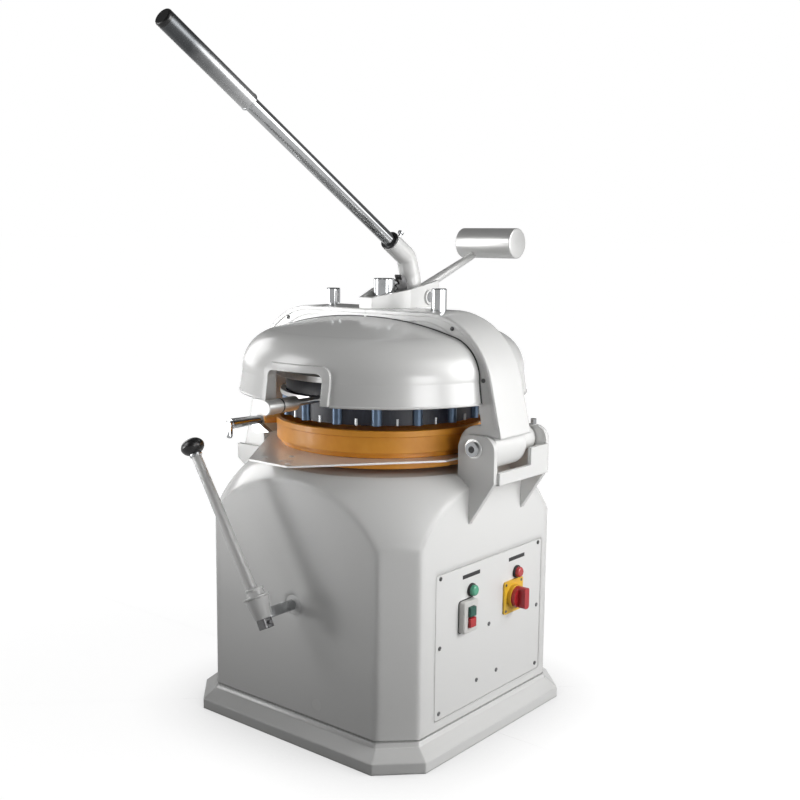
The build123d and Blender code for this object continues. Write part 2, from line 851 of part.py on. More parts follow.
with BuildPart() as lever_bracket:
    with BuildSketch(Plane.XY.offset(arch_top)):
        Polygon(*bracket_plan, align=None)
    extrude(amount=bracket_end_height)
    with BuildSketch(Plane.XY.offset(arch_top)):
        with BuildSketch(mode=Mode.PRIVATE) as inside:
            Polygon(*bracket_plan, align=None)
            offset(amount=-lever_bracket_wall, kind=Kind.INTERSECTION)
        add(inside.sketch)
        with Locations((0, bracket_end_y)):
            Rectangle(2 * (bracket_half - lever_bracket_wall), 4 * lever_bracket_wall)
    extrude(amount=bracket_end_height, mode=Mode.SUBTRACT)
    with BuildSketch(Plane.YZ.offset(-bracket_half - boss_length)):
        with Locations((pivot_y, pivot_z)):
            Circle(boss_radius)
    extrude(amount=boss_length)
    with BuildSketch(Plane.YZ.offset(bracket_half + boss_length)):
        with Locations((pivot_y, pivot_z)):
            Circle(boss_radius)
    extrude(amount=-boss_length)
    with BuildSketch(Plane.YZ.offset(-bracket_half - boss_length)):
        with BuildLine():
            Polyline(
                (bracket_nose_y, arch_top), (bracket_nose_y, arch_top + bracket_nose_height),
                (bracket_end_y, arch_top + bracket_end_height), (bracket_end_y, arch_top),
                (bracket_nose_y, arch_top),
            )
        make_face()
    extrude(amount=2 * (bracket_half + boss_length), mode=Mode.INTERSECT)
    with BuildSketch(Plane.YZ.offset(-bracket_half - boss_length)):
        with Locations((pivot_y, pivot_z)):
            Circle(pivot_radius + running_gap)
    extrude(amount=2 * (bracket_half + boss_length), mode=Mode.SUBTRACT)
finish(lever_bracket, "lever_bracket")

# Toothed sector: involute teeth on the lever's hub that drive the rack of the press rod
base_radius = pitch_radius * cos(radians(gear_pressure_angle))
tip_radius = pitch_radius + gear_module
root_radius = pitch_radius - 1.25 * gear_module
tooth_angle = 360.0 / gear_teeth


# Half the tooth's angle at a given radius, from the involute of the base circle
def tooth_half_angle(radius):
    alpha = radians(gear_pressure_angle)
    beta = acos(min(1.0, base_radius / radius))
    thickness = pi / (2 * gear_teeth) - gear_backlash / (4 * pitch_radius)
    return thickness + tan(alpha) - alpha - tan(beta) + beta


flank_radii = tuple(base_radius + (tip_radius - base_radius) * step / 3 for step in range(4))
flank = tuple((r * cos(tooth_half_angle(r)), r * sin(tooth_half_angle(r))) for r in flank_radii)
tooth_foot = (root_radius - gear_module / 2, flank[0][1])
tooth_outline = (tooth_foot,) + flank
tooth_outline += tuple((x, -y) for x, y in reversed(tooth_outline))

sector_count = sector_last - sector_first + 1
sector_start = 180.0 - sector_last * tooth_angle
sector_sweep = (sector_count - 1) * tooth_angle
socket_root = socket_rim - lever_dir * socket_length
arm_top = (socket_root.Y - pivot_y, socket_root.Z - pivot_z)
screw_axis = socket_rim - lever_dir * (tube_inset / 2)
screw_foot = screw_axis + lever_up * tube_radius
screw_seat = screw_axis + lever_up * (socket_radius + seat_gap)

with BuildPart() as lever_arm:
    with BuildSketch(pivot_plane.offset(-sector_half_width)):
        with BuildLine():
            CenterArc((0, 0), root_radius, sector_start - tooth_angle / 2, sector_sweep + tooth_angle)
            Line((0, 0), root_radius * Vector(1, 0).rotate(Axis.Z, sector_start - tooth_angle / 2))
            Line((0, 0), root_radius * Vector(1, 0).rotate(
                Axis.Z, sector_start + sector_sweep + tooth_angle / 2))
        make_face()
        with PolarLocations(0, sector_count, sector_start, sector_sweep, endpoint=True):
            Polygon(*tooth_outline, align=None)
    extrude(amount=2 * sector_half_width)
    with BuildSketch(pivot_plane.offset(-hub_half)):
        Circle(hub_radius)
    extrude(amount=2 * hub_half)
    with BuildSketch(pivot_plane.offset(-arm_half_width)):
        with Locations((arm_base_rise, arm_base_rise)):
            Circle(arm_base_radius)
        with Locations(arm_top):
            Circle(socket_radius)
        make_hull()
    extrude(amount=2 * arm_half_width)
    bar(socket_root, socket_rim, socket_radius)
    bar(socket_rim - lever_dir * tube_inset, socket_rim + lever_dir, tube_radius, Mode.SUBTRACT)
    with BuildSketch(pivot_plane.offset(-hub_half)):
        Circle(pivot_radius)
    extrude(amount=2 * hub_half, mode=Mode.SUBTRACT)
    bar(screw_foot, screw_seat, clamp_screw_radius / 2, Mode.SUBTRACT)
finish(lever_arm, "lever_arm")

with BuildPart() as lever_shaft:
    with BuildSketch(pivot_plane.offset(-bracket_half - boss_length)):
        Circle(pivot_radius)
    extrude(amount=2 * (bracket_half + boss_length))
finish(lever_shaft, "lever_shaft")

# Lever tube with its grip, end plug and socket screw
tube_start = socket_rim - lever_dir * tube_inset
grip_tip = socket_rim + lever_dir * grip_end

with BuildPart() as lever_tube:
    bar(tube_start, grip_tip, tube_radius)
    bar(tube_start, grip_tip, tube_bore, Mode.SUBTRACT)
finish(lever_tube, "lever_tube")

with BuildPart() as lever_grip:
    bar(socket_rim + lever_dir * grip_start, grip_tip, grip_radius)
    bar(socket_rim + lever_dir * grip_start, grip_tip, tube_radius, Mode.SUBTRACT)
finish(lever_grip, "lever_grip")

with BuildPart() as grip_plug:
    bar(grip_tip, grip_tip + lever_dir * plug_length, grip_radius)
    plug_edge = edges().filter_by(GeomType.CIRCLE).sort_by(Axis.Z)[-1]
    fillet(plug_edge, plug_length / 2)
finish(grip_plug, "grip_plug")

with BuildPart() as clamp_screw:
    bar(screw_foot, screw_seat + lever_up * clamp_screw_length, clamp_screw_radius / 2)
    bar(screw_seat + lever_up * clamp_screw_length * 0.7, screw_seat + lever_up * clamp_screw_length,
        clamp_screw_radius)
finish(clamp_screw, "clamp_screw")

# Counterweight: a cylinder across the machine on an arm behind the hub
weight_dir = Vector(0, cos(radians(weight_arm_angle)), sin(radians(weight_arm_angle)))
pivot_point = Vector(0, pivot_y, pivot_z)
weight_reach = hypot(weight_y - pivot_y, weight_z - pivot_z)

with BuildPart() as counterweight:
    with BuildSketch(Plane.YZ.offset(-weight_length / 2)):
        with Locations((weight_y, weight_z)):
            Circle(weight_radius)
    extrude(amount=weight_length)
    chamfer(edges().filter_by(GeomType.CIRCLE), 2.0)
finish(counterweight, "counterweight")

with BuildPart() as counterweight_arm:
    with BuildSketch(Plane(origin=pivot_point, z_dir=weight_dir)):
        Circle(weight_arm_root)
    with BuildSketch(Plane(origin=pivot_point + weight_dir * weight_reach, z_dir=weight_dir)):
        Circle(weight_arm_tip)
    loft()
    add(counterweight.part, mode=Mode.SUBTRACT)
    add(lever_arm.part, mode=Mode.SUBTRACT)
    add(lever_shaft.part, mode=Mode.SUBTRACT)
finish(counterweight_arm, "counterweight_arm")

# Head plate across the arch, carrying the drum and guiding the rod and the column
with BuildPart() as head_plate:
    with BuildSketch(Plane.XY.offset(head_plate_z)):
        Circle(head_plate_radius)
        with Locations((0, (arch_front + arch_back) / 2)):
            Rectangle(2 * (arch_side_x - leg_wall) + leg_wall / 4, head_beam_depth)
        Circle(rod_radius + running_gap, mode=Mode.SUBTRACT)
        with Locations((side_column_x, 0)):
            Circle(column_radius + running_gap, mode=Mode.SUBTRACT)
    extrude(amount=head_plate_thickness)
    add(arch_frame.part, mode=Mode.SUBTRACT)
finish(head_plate, "head_plate")

# Divider drum with posts and short pins standing round it
with BuildPart() as divider_drum:
    with BuildSketch(Plane.XY.offset(drum_bottom)):
        Circle(drum_outer)
        Circle(drum_outer - drum_wall, mode=Mode.SUBTRACT)
    extrude(amount=head_plate_z - drum_bottom)
finish(divider_drum, "divider_drum")

with BuildPart() as divider_posts:
    with BuildSketch(Plane.XY.offset(drum_bottom)):
        with PolarLocations(drum_outer, post_count, post_start):
            Circle(post_radius)
        Circle(drum_outer, mode=Mode.SUBTRACT)
    extrude(amount=post_top - drum_bottom)
finish(divider_posts, "divider_posts")

with BuildPart() as divider_pins:
    with BuildSketch(Plane.XY.offset(drum_bottom)):
        with PolarLocations(drum_outer, post_count, post_start + 180.0 / post_count):
            Circle(drum_pin_radius)
        Circle(drum_outer, mode=Mode.SUBTRACT)
    extrude(amount=drum_pin_height)
finish(divider_pins, "divider_pins")

# Lock ring round the drum with the cut handle reaching out through the window
lock_ring_z = post_top + seat_gap
handle_z = lock_ring_z + handle_stem_radius + seat_gap
handle_angle = atan2(handle_x, handle_start)
handle_dir = Vector(sin(handle_angle), -cos(handle_angle), 0)
handle_root = Vector(0, 0, handle_z) + handle_dir * handle_start
handle_tip = handle_root + handle_dir * handle_length
groove_start = handle_root + handle_dir * (handle_length / 2)

with BuildPart() as lock_ring:
    with BuildSketch(Plane.XY.offset(lock_ring_z)):
        Circle(lock_ring_outer)
        Circle(drum_outer + lock_ring_gap, mode=Mode.SUBTRACT)
    extrude(amount=lock_ring_height)
    bar(Vector(0, 0, handle_z) + handle_dir * (lock_ring_outer - lock_ring_height), handle_root,
        handle_stem_radius)
    with BuildSketch(Plane.XY.offset(lock_ring_z - lock_ring_height)):
        Circle(drum_outer + lock_ring_gap)
    extrude(amount=3 * lock_ring_height, mode=Mode.SUBTRACT)
finish(lock_ring, "lock_ring")

with BuildPart() as cut_handle:
    bar(handle_root, handle_tip, handle_radius)
    chamfer(edges().filter_by(GeomType.CIRCLE), handle_groove_depth)
    bar(groove_start, groove_start + handle_dir * handle_groove, handle_radius + 1, Mode.SUBTRACT)
    bar(groove_start, groove_start + handle_dir * handle_groove, handle_radius - handle_groove_depth)
finish(cut_handle, "cut_handle")

# Knives: two rings and radial blades under a plate, with the guide column on it
blade_angles = tuple(360.0 / count for count in ring_counts)
stem_radii = tuple((a + b) / 2 for a, b in zip(ring_edges, ring_edges[1:]))

with BuildPart() as knife_grid:
    with BuildSketch(Plane.XY.offset(knife_bottom)):
        Circle(knife_outer)
        Circle(knife_outer - blade, mode=Mode.SUBTRACT)
        for ring in ring_radii:
            with BuildSketch(mode=Mode.PRIVATE) as hoop:
                Circle(ring + blade / 2)
                Circle(ring - blade / 2, mode=Mode.SUBTRACT)
            add(hoop.sketch)
        for inner, outer, count in zip(ring_edges, ring_edges[1:], ring_counts):
            with PolarLocations((inner + outer) / 2, count):
                Rectangle(outer - inner, blade)
    extrude(amount=blade_depth)
    with BuildSketch(Plane.XY.offset(knife_plate_z)):
        Circle(knife_outer)
        for radius, count, angle in zip(stem_radii, ring_counts, blade_angles):
            with PolarLocations(radius, count, angle / 2):
                Rectangle(stem_hole, stem_hole, mode=Mode.SUBTRACT)
    extrude(amount=knife_plate_thickness)
finish(knife_grid, "knife_grid")

with BuildPart() as guide_column:
    with BuildSketch(Plane.XY.offset(knife_plate_z + knife_plate_thickness)):
        with Locations((side_column_x, 0)):
            Circle(column_radius)
    extrude(amount=column_top - knife_plate_z - knife_plate_thickness)
    chamfer(edges().filter_by(GeomType.CIRCLE).sort_by(Axis.Z)[-1], 1.5)
finish(guide_column, "guide_column")

# Pistons: one pad with a square stem in each pocket of the knives
with BuildPart() as pistons:
    for inner, outer, count in zip(ring_edges, ring_edges[1:], ring_counts):
        with BuildSketch(Plane.XY.offset(piston_bottom)):
            Circle(outer - blade / 2 - piston_gap)
            if inner > 0:
                Circle(inner + blade / 2 + piston_gap, mode=Mode.SUBTRACT)
            with PolarLocations(outer / 2, count):
                Rectangle(outer, blade + 2 * piston_gap, mode=Mode.SUBTRACT)
        extrude(amount=piston_height)
    with BuildSketch(Plane.XY.offset(piston_bottom + piston_height)):
        for radius, count, angle in zip(stem_radii, ring_counts, blade_angles):
            with PolarLocations(radius, count, angle / 2):
                Rectangle(stem_width, stem_width)
    extrude(amount=ram_plate_z - piston_bottom - piston_height)
finish(pistons, "pistons")

with BuildPart() as ram_plate:
    with BuildSketch(Plane.XY.offset(ram_plate_z)):
        Circle(ram_plate_radius)
        with Locations((side_column_x, 0)):
            Circle(column_radius + stem_clearance, mode=Mode.SUBTRACT)
    extrude(amount=ram_plate_thickness)
finish(ram_plate, "ram_plate")

# Press rod with a rack on its back that meshes with the lever's sector
ram_plate_top = ram_plate_z + ram_plate_thickness
rack_bottom = pivot_z - rack_below
rack_top = rod_top - rack_top_gap
rack_crest = rack_pitch_y + gear_module
rack_gap_half = rack_pitch / 4 + gear_backlash / 4
rack_slope = tan(radians(gear_pressure_angle))
gap_deep = rack_gap_half - 1.25 * gear_module * rack_slope
gap_wide = rack_gap_half + 1.5 * gear_module * rack_slope
rack_gap = (
    (rack_pitch_y - 1.25 * gear_module, -gap_deep), (rack_pitch_y + 1.5 * gear_module, -gap_wide),
    (rack_pitch_y + 1.5 * gear_module, gap_wide), (rack_pitch_y - 1.25 * gear_module, gap_deep),
)
rack_gap_heights = tuple(
    (0, pivot_z + step * rack_pitch) for step in range(sector_first, sector_last + 1)
)

with BuildPart() as press_rod:
    with BuildSketch(Plane.XY.offset(ram_plate_top)):
        Circle(rod_radius)
    extrude(amount=rod_top - ram_plate_top)
    chamfer(edges().filter_by(GeomType.CIRCLE).sort_by(Axis.Z)[-1], 1.5)
    with BuildSketch(Plane.XY.offset(rack_bottom)):
        with Locations((0, rack_crest / 2)):
            Rectangle(2 * rack_half_width, rack_crest)
    extrude(amount=rack_top - rack_bottom)
    with BuildSketch(Plane.YZ.offset(-rod_radius)):
        with Locations(*rack_gap_heights):
            Polygon(*rack_gap, align=None)
    extrude(amount=2 * rod_radius, mode=Mode.SUBTRACT)
finish(press_rod, "press_rod")

# Weight knob on its screw, through the crown of the arch
with BuildPart() as weight_knob:
    with BuildSketch(Plane.XY.offset(screw_end_z)):
        with Locations((-side_column_x, 0)):
            Circle(knob_shank_radius)
    extrude(amount=knob_top - knob_length - screw_end_z)
    with BuildSketch(Plane.XY.offset(knob_top - knob_length)):
        with Locations((-side_column_x, 0)):
            Circle(knob_radius)
    extrude(amount=knob_length)
    chamfer(edges().filter_by(GeomType.CIRCLE).sort_by(Axis.Z)[-1], 1.5)
finish(weight_knob, "weight_knob")

# Rounding lever: shaft through the front face, hub cup, rod and ball
round_pivot = Vector(round_x, round_tip_y, round_z)

with BuildPart() as round_shaft:
    with BuildSketch(Plane.XZ.offset(-round_tip_y)):
        with Locations((round_x, round_z)):
            Circle(round_shaft_radius)
    extrude(amount=-(round_shaft_reach + round_shaft_inner))
finish(round_shaft, "round_shaft")

with BuildPart() as round_hub:
    bar(round_pivot - round_dir * hub_cup_below, round_pivot + round_dir * hub_cup_above, hub_cup_radius)
    chamfer(edges().filter_by(GeomType.CIRCLE), 3.0)
    add(round_shaft.part, mode=Mode.SUBTRACT)
finish(round_hub, "round_hub")

with BuildPart() as hub_collars:
    for step in range(2):
        start = round_pivot + round_dir * (hub_cup_above + step * collar_pitch)
        bar(start, start + round_dir * collar_height, collar_radius)
        bar(start, start + round_dir * collar_height, round_rod_radius, Mode.SUBTRACT)
finish(hub_collars, "hub_collars")

ball_centre = round_pivot + round_dir * round_rod_length
with BuildPart() as round_rod:
    rod_foot = round_pivot + round_dir * hub_cup_above
    bar(rod_foot, ball_centre - round_dir * ball_half_height, round_rod_radius)
finish(round_rod, "round_rod")

ball_plane = Plane(origin=ball_centre, x_dir=(0, 1, 0), z_dir=round_dir.cross(Vector(0, 1, 0)))
ball_flat = ball_radius * 0.28
ball_shoulder = ball_radius * 0.76
ball_drop = ball_half_height * 0.7
with BuildPart() as round_ball:
    with BuildSketch(ball_plane):
        with BuildLine():
            Line((0, ball_half_height), (ball_flat, ball_half_height))
            ThreePointArc((ball_flat, ball_half_height), (ball_shoulder, ball_drop), (ball_radius, 0))
            ThreePointArc((ball_radius, 0), (ball_shoulder, -ball_drop), (ball_flat, -ball_half_height))
            Polyline((ball_flat, -ball_half_height), (0, -ball_half_height), (0, ball_half_height))
        make_face()
    revolve(axis=Axis(ball_centre, round_dir))
finish(round_ball, "round_ball")

with BuildPart() as lever_bush:
    with BuildSketch(Plane.XZ.offset(housing_half)):
        with Locations((round_x, round_z)):
            Circle(bush_radius)
            Circle(round_shaft_radius + running_gap, mode=Mode.SUBTRACT)
    extrude(amount=-housing_wall)
    with BuildSketch(Plane.XZ.offset(housing_half - housing_wall)):
        with Locations((round_x, round_z)):
            Circle(bush_flange)
            Circle(round_shaft_radius + running_gap, mode=Mode.SUBTRACT)
    extrude(amount=-housing_wall)
finish(lever_bush, "lever_bush")

# Orbiting table: carrier disc on the eccentric, sheet on the disc, moulding plate on the sheet
disc_seat = disc_bottom - seat_gap
eccentric_top = sheet_bottom - eccentric_top_gap

with BuildPart() as carrier_disc:
    with BuildSketch(Plane.XY.offset(disc_bottom)):
        Circle(disc_radius)
    extrude(amount=sheet_bottom - disc_bottom)
    with BuildSketch(Plane.XY.offset(disc_bottom)):
        Circle(eccentric_radius + running_gap)
    extrude(amount=eccentric_top + seat_gap - disc_bottom, mode=Mode.SUBTRACT)
finish(carrier_disc, "carrier_disc")

sheet_outline = (
    (sheet_front_half, -sheet_front), (sheet_side, -sheet_side_front), (sheet_side, sheet_side_back),
    (sheet_back_half, sheet_back), (-sheet_back_half, sheet_back), (-sheet_side, sheet_side_back),
    (-sheet_side, -sheet_side_front), (-sheet_front_half, -sheet_front),
)
sheet_holes = ((-45.0, -320.0), (-8.0, -280.0), (40.0, -338.0))
sheet_slot = (16.0, -318.0)
sheet_slot_length = 30.0

with BuildPart() as carrier_sheet:
    with BuildSketch(Plane.XY.offset(sheet_bottom)) as outline:
        Polygon(*sheet_outline, align=None)
        fillet(outline.vertices(), sheet_corner)
        with Locations(*sheet_holes):
            Circle(sheet_hole_radius, mode=Mode.SUBTRACT)
        with Locations(sheet_slot):
            SlotOverall(sheet_slot_length, sheet_hole_radius, rotation=45, mode=Mode.SUBTRACT)
    extrude(amount=sheet_thickness)
finish(carrier_sheet, "carrier_sheet")

plate_seat = sheet_top + seat_gap
with BuildPart() as moulding_plate:
    with BuildSketch(Plane.XZ):
        with BuildLine():
            Polyline(
                (0, plate_seat), (plate_foot_radius, plate_seat), (plate_foot_radius, plate_body_z),
                (plate_base_radius, plate_body_z), (plate_base_radius, plate_top - plate_lip_height),
                (plate_lip_radius, plate_top - plate_lip_height), (plate_lip_radius, plate_top),
                (plate_inner_radius, plate_top), (plate_inner_radius, plate_floor_top),
                (0, plate_floor_top), (0, plate_seat),
            )
        make_face()
    revolve(axis=Axis.Z)
    with BuildSketch(Plane.XY.offset(plate_top - plate_lip_height)):
        with PolarLocations((tab_reach + plate_base_radius) / 2, 1, tab_azimuth):
            Rectangle(tab_reach - plate_base_radius + tab_thickness, tab_width)
        Circle(plate_base_radius, mode=Mode.SUBTRACT)
    extrude(amount=tab_thickness)
finish(moulding_plate, "moulding_plate")

# Drive: bearing under the deck, eccentric shaft with its pulley, motor, belt
with BuildPart() as bearing_housing:
    with BuildSketch(Plane.XY.offset(bearing_bottom)):
        with Locations((0, shaft_y)):
            Circle(bearing_outer)
    extrude(amount=deck_height - housing_wall - bearing_bottom)
    with BuildSketch(Plane.XY.offset(deck_height - housing_wall)):
        with Locations((0, shaft_y)):
            Circle(bearing_flange)
    extrude(amount=-bearing_flange_thickness)
    with BuildSketch(Plane.XY.offset(bearing_bottom)):
        with Locations((0, shaft_y)):
            Circle(shaft_radius + running_gap)
    extrude(amount=deck_height - bearing_bottom, mode=Mode.SUBTRACT)
finish(bearing_housing, "bearing_housing")

with BuildPart() as eccentric_shaft:
    with BuildSketch(Plane.XY.offset(shaft_bottom)):
        with Locations((0, shaft_y)):
            Circle(shaft_radius)
    extrude(amount=crank_bottom - shaft_bottom)
    with BuildSketch(Plane.XY.offset(crank_bottom)):
        with Locations((0, shaft_y)):
            Circle(crank_radius)
    extrude(amount=disc_seat - crank_bottom)
    with BuildSketch(Plane.XY.offset(disc_seat)):
        Circle(eccentric_radius)
    extrude(amount=eccentric_top - disc_seat)
finish(eccentric_shaft, "eccentric_shaft")


# Flanged belt pulley about a vertical axis
def pulley(place, radius, bore):
    steps = (
        (0, pulley_rim_width, radius + pulley_rim),
        (pulley_rim_width, pulley_width - pulley_rim_width, radius),
        (pulley_width - pulley_rim_width, pulley_width, radius + pulley_rim),
    )
    for low, high, size in steps:
        with BuildSketch(Plane.XY.offset(pulley_z + low)) as section:
            with Locations(place):
                Circle(size)
                if bore > 0:
                    Circle(bore, mode=Mode.SUBTRACT)
        extrude(section.sketch, amount=high - low)


motor_place = (motor_x, motor_y)
motor_top = floor_thickness + motor_foot + motor_height

with BuildPart() as drive_pulley:
    pulley((0, shaft_y), pulley_radius, shaft_radius)
finish(drive_pulley, "drive_pulley")

with BuildPart() as motor_body:
    with BuildSketch(Plane.XY.offset(floor_thickness)):
        with Locations(motor_place):
            RectangleRounded(2 * motor_radius, 2 * motor_radius, motor_foot)
    extrude(amount=motor_foot)
    with BuildSketch(Plane.XY.offset(floor_thickness + motor_foot)):
        with Locations(motor_place):
            Circle(motor_radius)
    extrude(amount=motor_height)
    with BuildSketch(Plane.XY.offset(motor_top)):
        with Locations(motor_place):
            Circle(motor_shaft_radius + running_gap)
    extrude(amount=-motor_height / 4, mode=Mode.SUBTRACT)
finish(motor_body, "motor_body")

with BuildPart() as motor_pulley:
    pulley(motor_place, motor_pulley_radius, 0)
    with BuildSketch(Plane.XY.offset(motor_top - motor_height / 4 + seat_gap)):
        with Locations(motor_place):
            Circle(motor_shaft_radius)
    extrude(amount=pulley_z - motor_top + motor_height / 4 - seat_gap)
finish(motor_pulley, "motor_pulley")


# Region inside the belt's run round both pulleys, grown by a margin
def belt_region(margin):
    with BuildSketch(mode=Mode.PRIVATE) as region:
        with Locations((0, shaft_y)):
            Circle(pulley_radius + margin)
        with Locations(motor_place):
            Circle(motor_pulley_radius + margin)
        make_hull()
    return region.sketch


with BuildPart() as drive_belt:
    with BuildSketch(Plane.XY.offset(pulley_z + pulley_rim_width + belt_gap)):
        add(belt_region(belt_gap + belt_thickness))
        add(belt_region(belt_gap), mode=Mode.SUBTRACT)
    extrude(amount=pulley_width - 2 * pulley_rim_width - 2 * belt_gap)
finish(drive_belt, "drive_belt")
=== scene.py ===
import json
import math
import bmesh
import bpy
import numpy as np
from mathutils import Matrix, Vector


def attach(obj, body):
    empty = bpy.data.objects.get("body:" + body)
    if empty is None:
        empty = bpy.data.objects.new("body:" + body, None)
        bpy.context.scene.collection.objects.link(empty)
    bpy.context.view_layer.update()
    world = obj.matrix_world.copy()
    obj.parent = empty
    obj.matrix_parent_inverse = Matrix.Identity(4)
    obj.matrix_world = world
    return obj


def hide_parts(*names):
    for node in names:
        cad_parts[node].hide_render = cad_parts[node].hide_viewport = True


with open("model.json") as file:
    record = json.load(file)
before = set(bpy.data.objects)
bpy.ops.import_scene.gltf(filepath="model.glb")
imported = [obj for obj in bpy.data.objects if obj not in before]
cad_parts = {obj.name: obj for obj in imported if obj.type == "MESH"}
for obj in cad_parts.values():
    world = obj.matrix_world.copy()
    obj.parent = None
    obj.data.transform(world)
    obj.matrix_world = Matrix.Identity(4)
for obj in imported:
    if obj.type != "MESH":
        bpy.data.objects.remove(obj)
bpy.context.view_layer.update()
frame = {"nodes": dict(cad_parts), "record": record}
scene = bpy.context.scene
scene.view_settings.view_transform = "Standard"
print("frame loaded:", len(frame["nodes"]), "nodes")


# A shader socket that behaves like a number: each operation adds one Math node to its tree
class Wire:
    def __init__(self, tree, socket):
        self.tree = tree
        self.socket = socket

    def make(self, kind, settings, inputs, out=0):
        node = self.tree.nodes.new(kind)
        for key, value in settings.items():
            setattr(node, key, value)
        for key, value in inputs.items():
            if isinstance(value, Wire):
                self.tree.links.new(value.socket, node.inputs[key])
            else:
                node.inputs[key].default_value = value
        return Wire(self.tree, node.outputs[out])

    def maths(self, operation, first, second=0.0):
        return self.make("ShaderNodeMath", {"operation": operation}, {0: first, 1: second})

    def __add__(self, other):
        return self.maths("ADD", self, other)

    __radd__ = __add__

    def __sub__(self, other):
        return self.maths("SUBTRACT", self, other)

    def __rsub__(self, other):
        return self.maths("SUBTRACT", other, self)

    def __mul__(self, other):
        return self.maths("MULTIPLY", self, other)

    __rmul__ = __mul__


def noise(place, scale, detail, rough):
    inputs = {"Vector": place, "Scale": scale, "Detail": detail, "Roughness": rough}
    return place.make("ShaderNodeTexNoise", {}, inputs)


# Noise drawn out along the ways where its scale is small
def streaks(place, scale, detail, rough):
    drawn = place.make("ShaderNodeMapping", {}, {"Vector": place, "Scale": scale})
    return noise(drawn, 1.0, detail, rough)


# From the first colour to the second by a share; each is three numbers or a wire
def blend(share, *colours):
    first, second = (one if isinstance(one, Wire) else one + (1.0,) for one in colours)
    return share.make("ShaderNodeMix", {"data_type": "RGBA"}, {0: share, 6: first, 7: second}, 2)


# Nought up to low, one from high on, even between them
def ramp(share, low, high):
    inputs = {"Value": share, "From Min": low, "From Max": high}
    return share.make("ShaderNodeMapRange", {"clamp": True}, inputs)


def vectorMaths(operation, first, second=(0.0, 0.0, 0.0), out="Value"):
    return first.make("ShaderNodeVectorMath", {"operation": operation}, {0: first, 1: second}, out)


# One finish: constants go straight on the shader, and recipe gives what changes over the surface
def finish(name, constants, recipe):
    paint = bpy.data.materials.new(name)
    paint.use_nodes = True
    tree = paint.node_tree
    shader = tree.nodes["Principled BSDF"]
    for key, value in constants.items():
        shader.inputs[key].default_value = value
    place = Wire(tree, tree.nodes.new("ShaderNodeTexCoord").outputs["Object"])
    for key, wire in recipe(place).items():
        tree.links.new(wire.socket, shader.inputs[key])
    return paint


# Camera fitted to the photograph: eye in metres, angles in degrees, lens for an 800 x 800 image
camera = dict(
    eye=(1.5565, -1.8593, 1.0302),
    azimuth=39.06,
    pitch=8.22,
    roll=0.58,
    focalPixels=1107.0,
    imagePixels=800.0,
    sensor=36.0,
)


def setCamera(spec):
    lens = bpy.data.cameras.new("studioCamera")
    lens.sensor_width = spec["sensor"]
    lens.lens = spec["sensor"] * spec["focalPixels"] / spec["imagePixels"]
    holder = bpy.data.objects.new("studioCamera", lens)
    scene.collection.objects.link(holder)
    turn, dip, tilt = (math.radians(spec[key]) for key in ("azimuth", "pitch", "roll"))
    right = Vector((math.cos(turn), math.sin(turn), 0.0))
    level = Vector((-math.sin(turn), math.cos(turn), 0.0))
    ahead = math.cos(dip) * level - Vector((0.0, 0.0, math.sin(dip)))
    up = right.cross(ahead)
    across = math.cos(tilt) * right + math.sin(tilt) * up
    rise = math.cos(tilt) * up - math.sin(tilt) * right
    pose = Matrix((across, rise, -ahead)).transposed().to_4x4()
    pose.translation = Vector(spec["eye"])
    holder.matrix_world = pose
    scene.camera = holder


setCamera(camera)
print("camera set")

# Studio: bright softboxes on the switch side, weak ones in front, on the head and by the lever
studio = dict(
    floorHalf=1500.0,
    floorCoat={"Base Color": (0.16, 0.16, 0.16, 1.0), "Roughness": 0.9,
               "Specular IOR Level": 0.0, "Emission Strength": 1.0},
    # Painted floor shadow: the floor's emission is lowered near the object, and darkened further
    # where ambient occlusion finds the object close
    floorLift=(0.94, 1.0),
    liftReach=(0.5, 1.8),
    paintedShadowReach=0.2,
    paintedShadowDark=0.38,
    floorMirror=0.6,
    ambient=0.01,
    mirrorBase=0.13,
    # Boxes that metal mirrors: bearing from -Y towards +X, rise, radius, soft edge, strength
    mirrorBoxes={
        "left": (-20, 10, 13, 7, 1.0),
        "right": (92, 34, 16, 9, 1.8),
    },
    # Lamps: bearing, rise, distance, height that they look at, size, power, spread
    lamps={
        "sideBox": (104, 8, 2.6, 0.85, 1.3, 26.0, 180),
        "sideHigh": (112, 22, 2.2, 0.85, 1.2, 17.6, 180),
        "sideBack": (124, 10, 2.2, 0.85, 1.2, 8.3, 180),
        "panelBox": (70, 4, 2.2, 0.62, 0.8, 1.0, 50),
        "headBox": (-40, 20, 1.7, 0.95, 0.8, 2.0, 80),
        "faceBox": (-46, 0, 1.8, 0.62, 0.7, 1.1, 45),
        "leftBox": (-92, 12, 1.9, 0.85, 1.0, 8.0, 180),
    },
)


# One where a ray of any of these kinds looks at the surface, else nought
def seenBy(tree, *kinds):
    rays = tree.nodes.new("ShaderNodeLightPath")
    seen = Wire(tree, rays.outputs[kinds[0]])
    for kind in kinds[1:]:
        seen = seen.maths("MAXIMUM", seen, Wire(tree, rays.outputs[kind]))
    return seen


# Way out to a box, from its bearing and rise in degrees
def wayTo(bearing, rise):
    turn, lift = math.radians(bearing), math.radians(rise)
    level = math.cos(lift)
    return Vector((math.sin(turn) * level, -math.cos(turn) * level, math.sin(lift)))


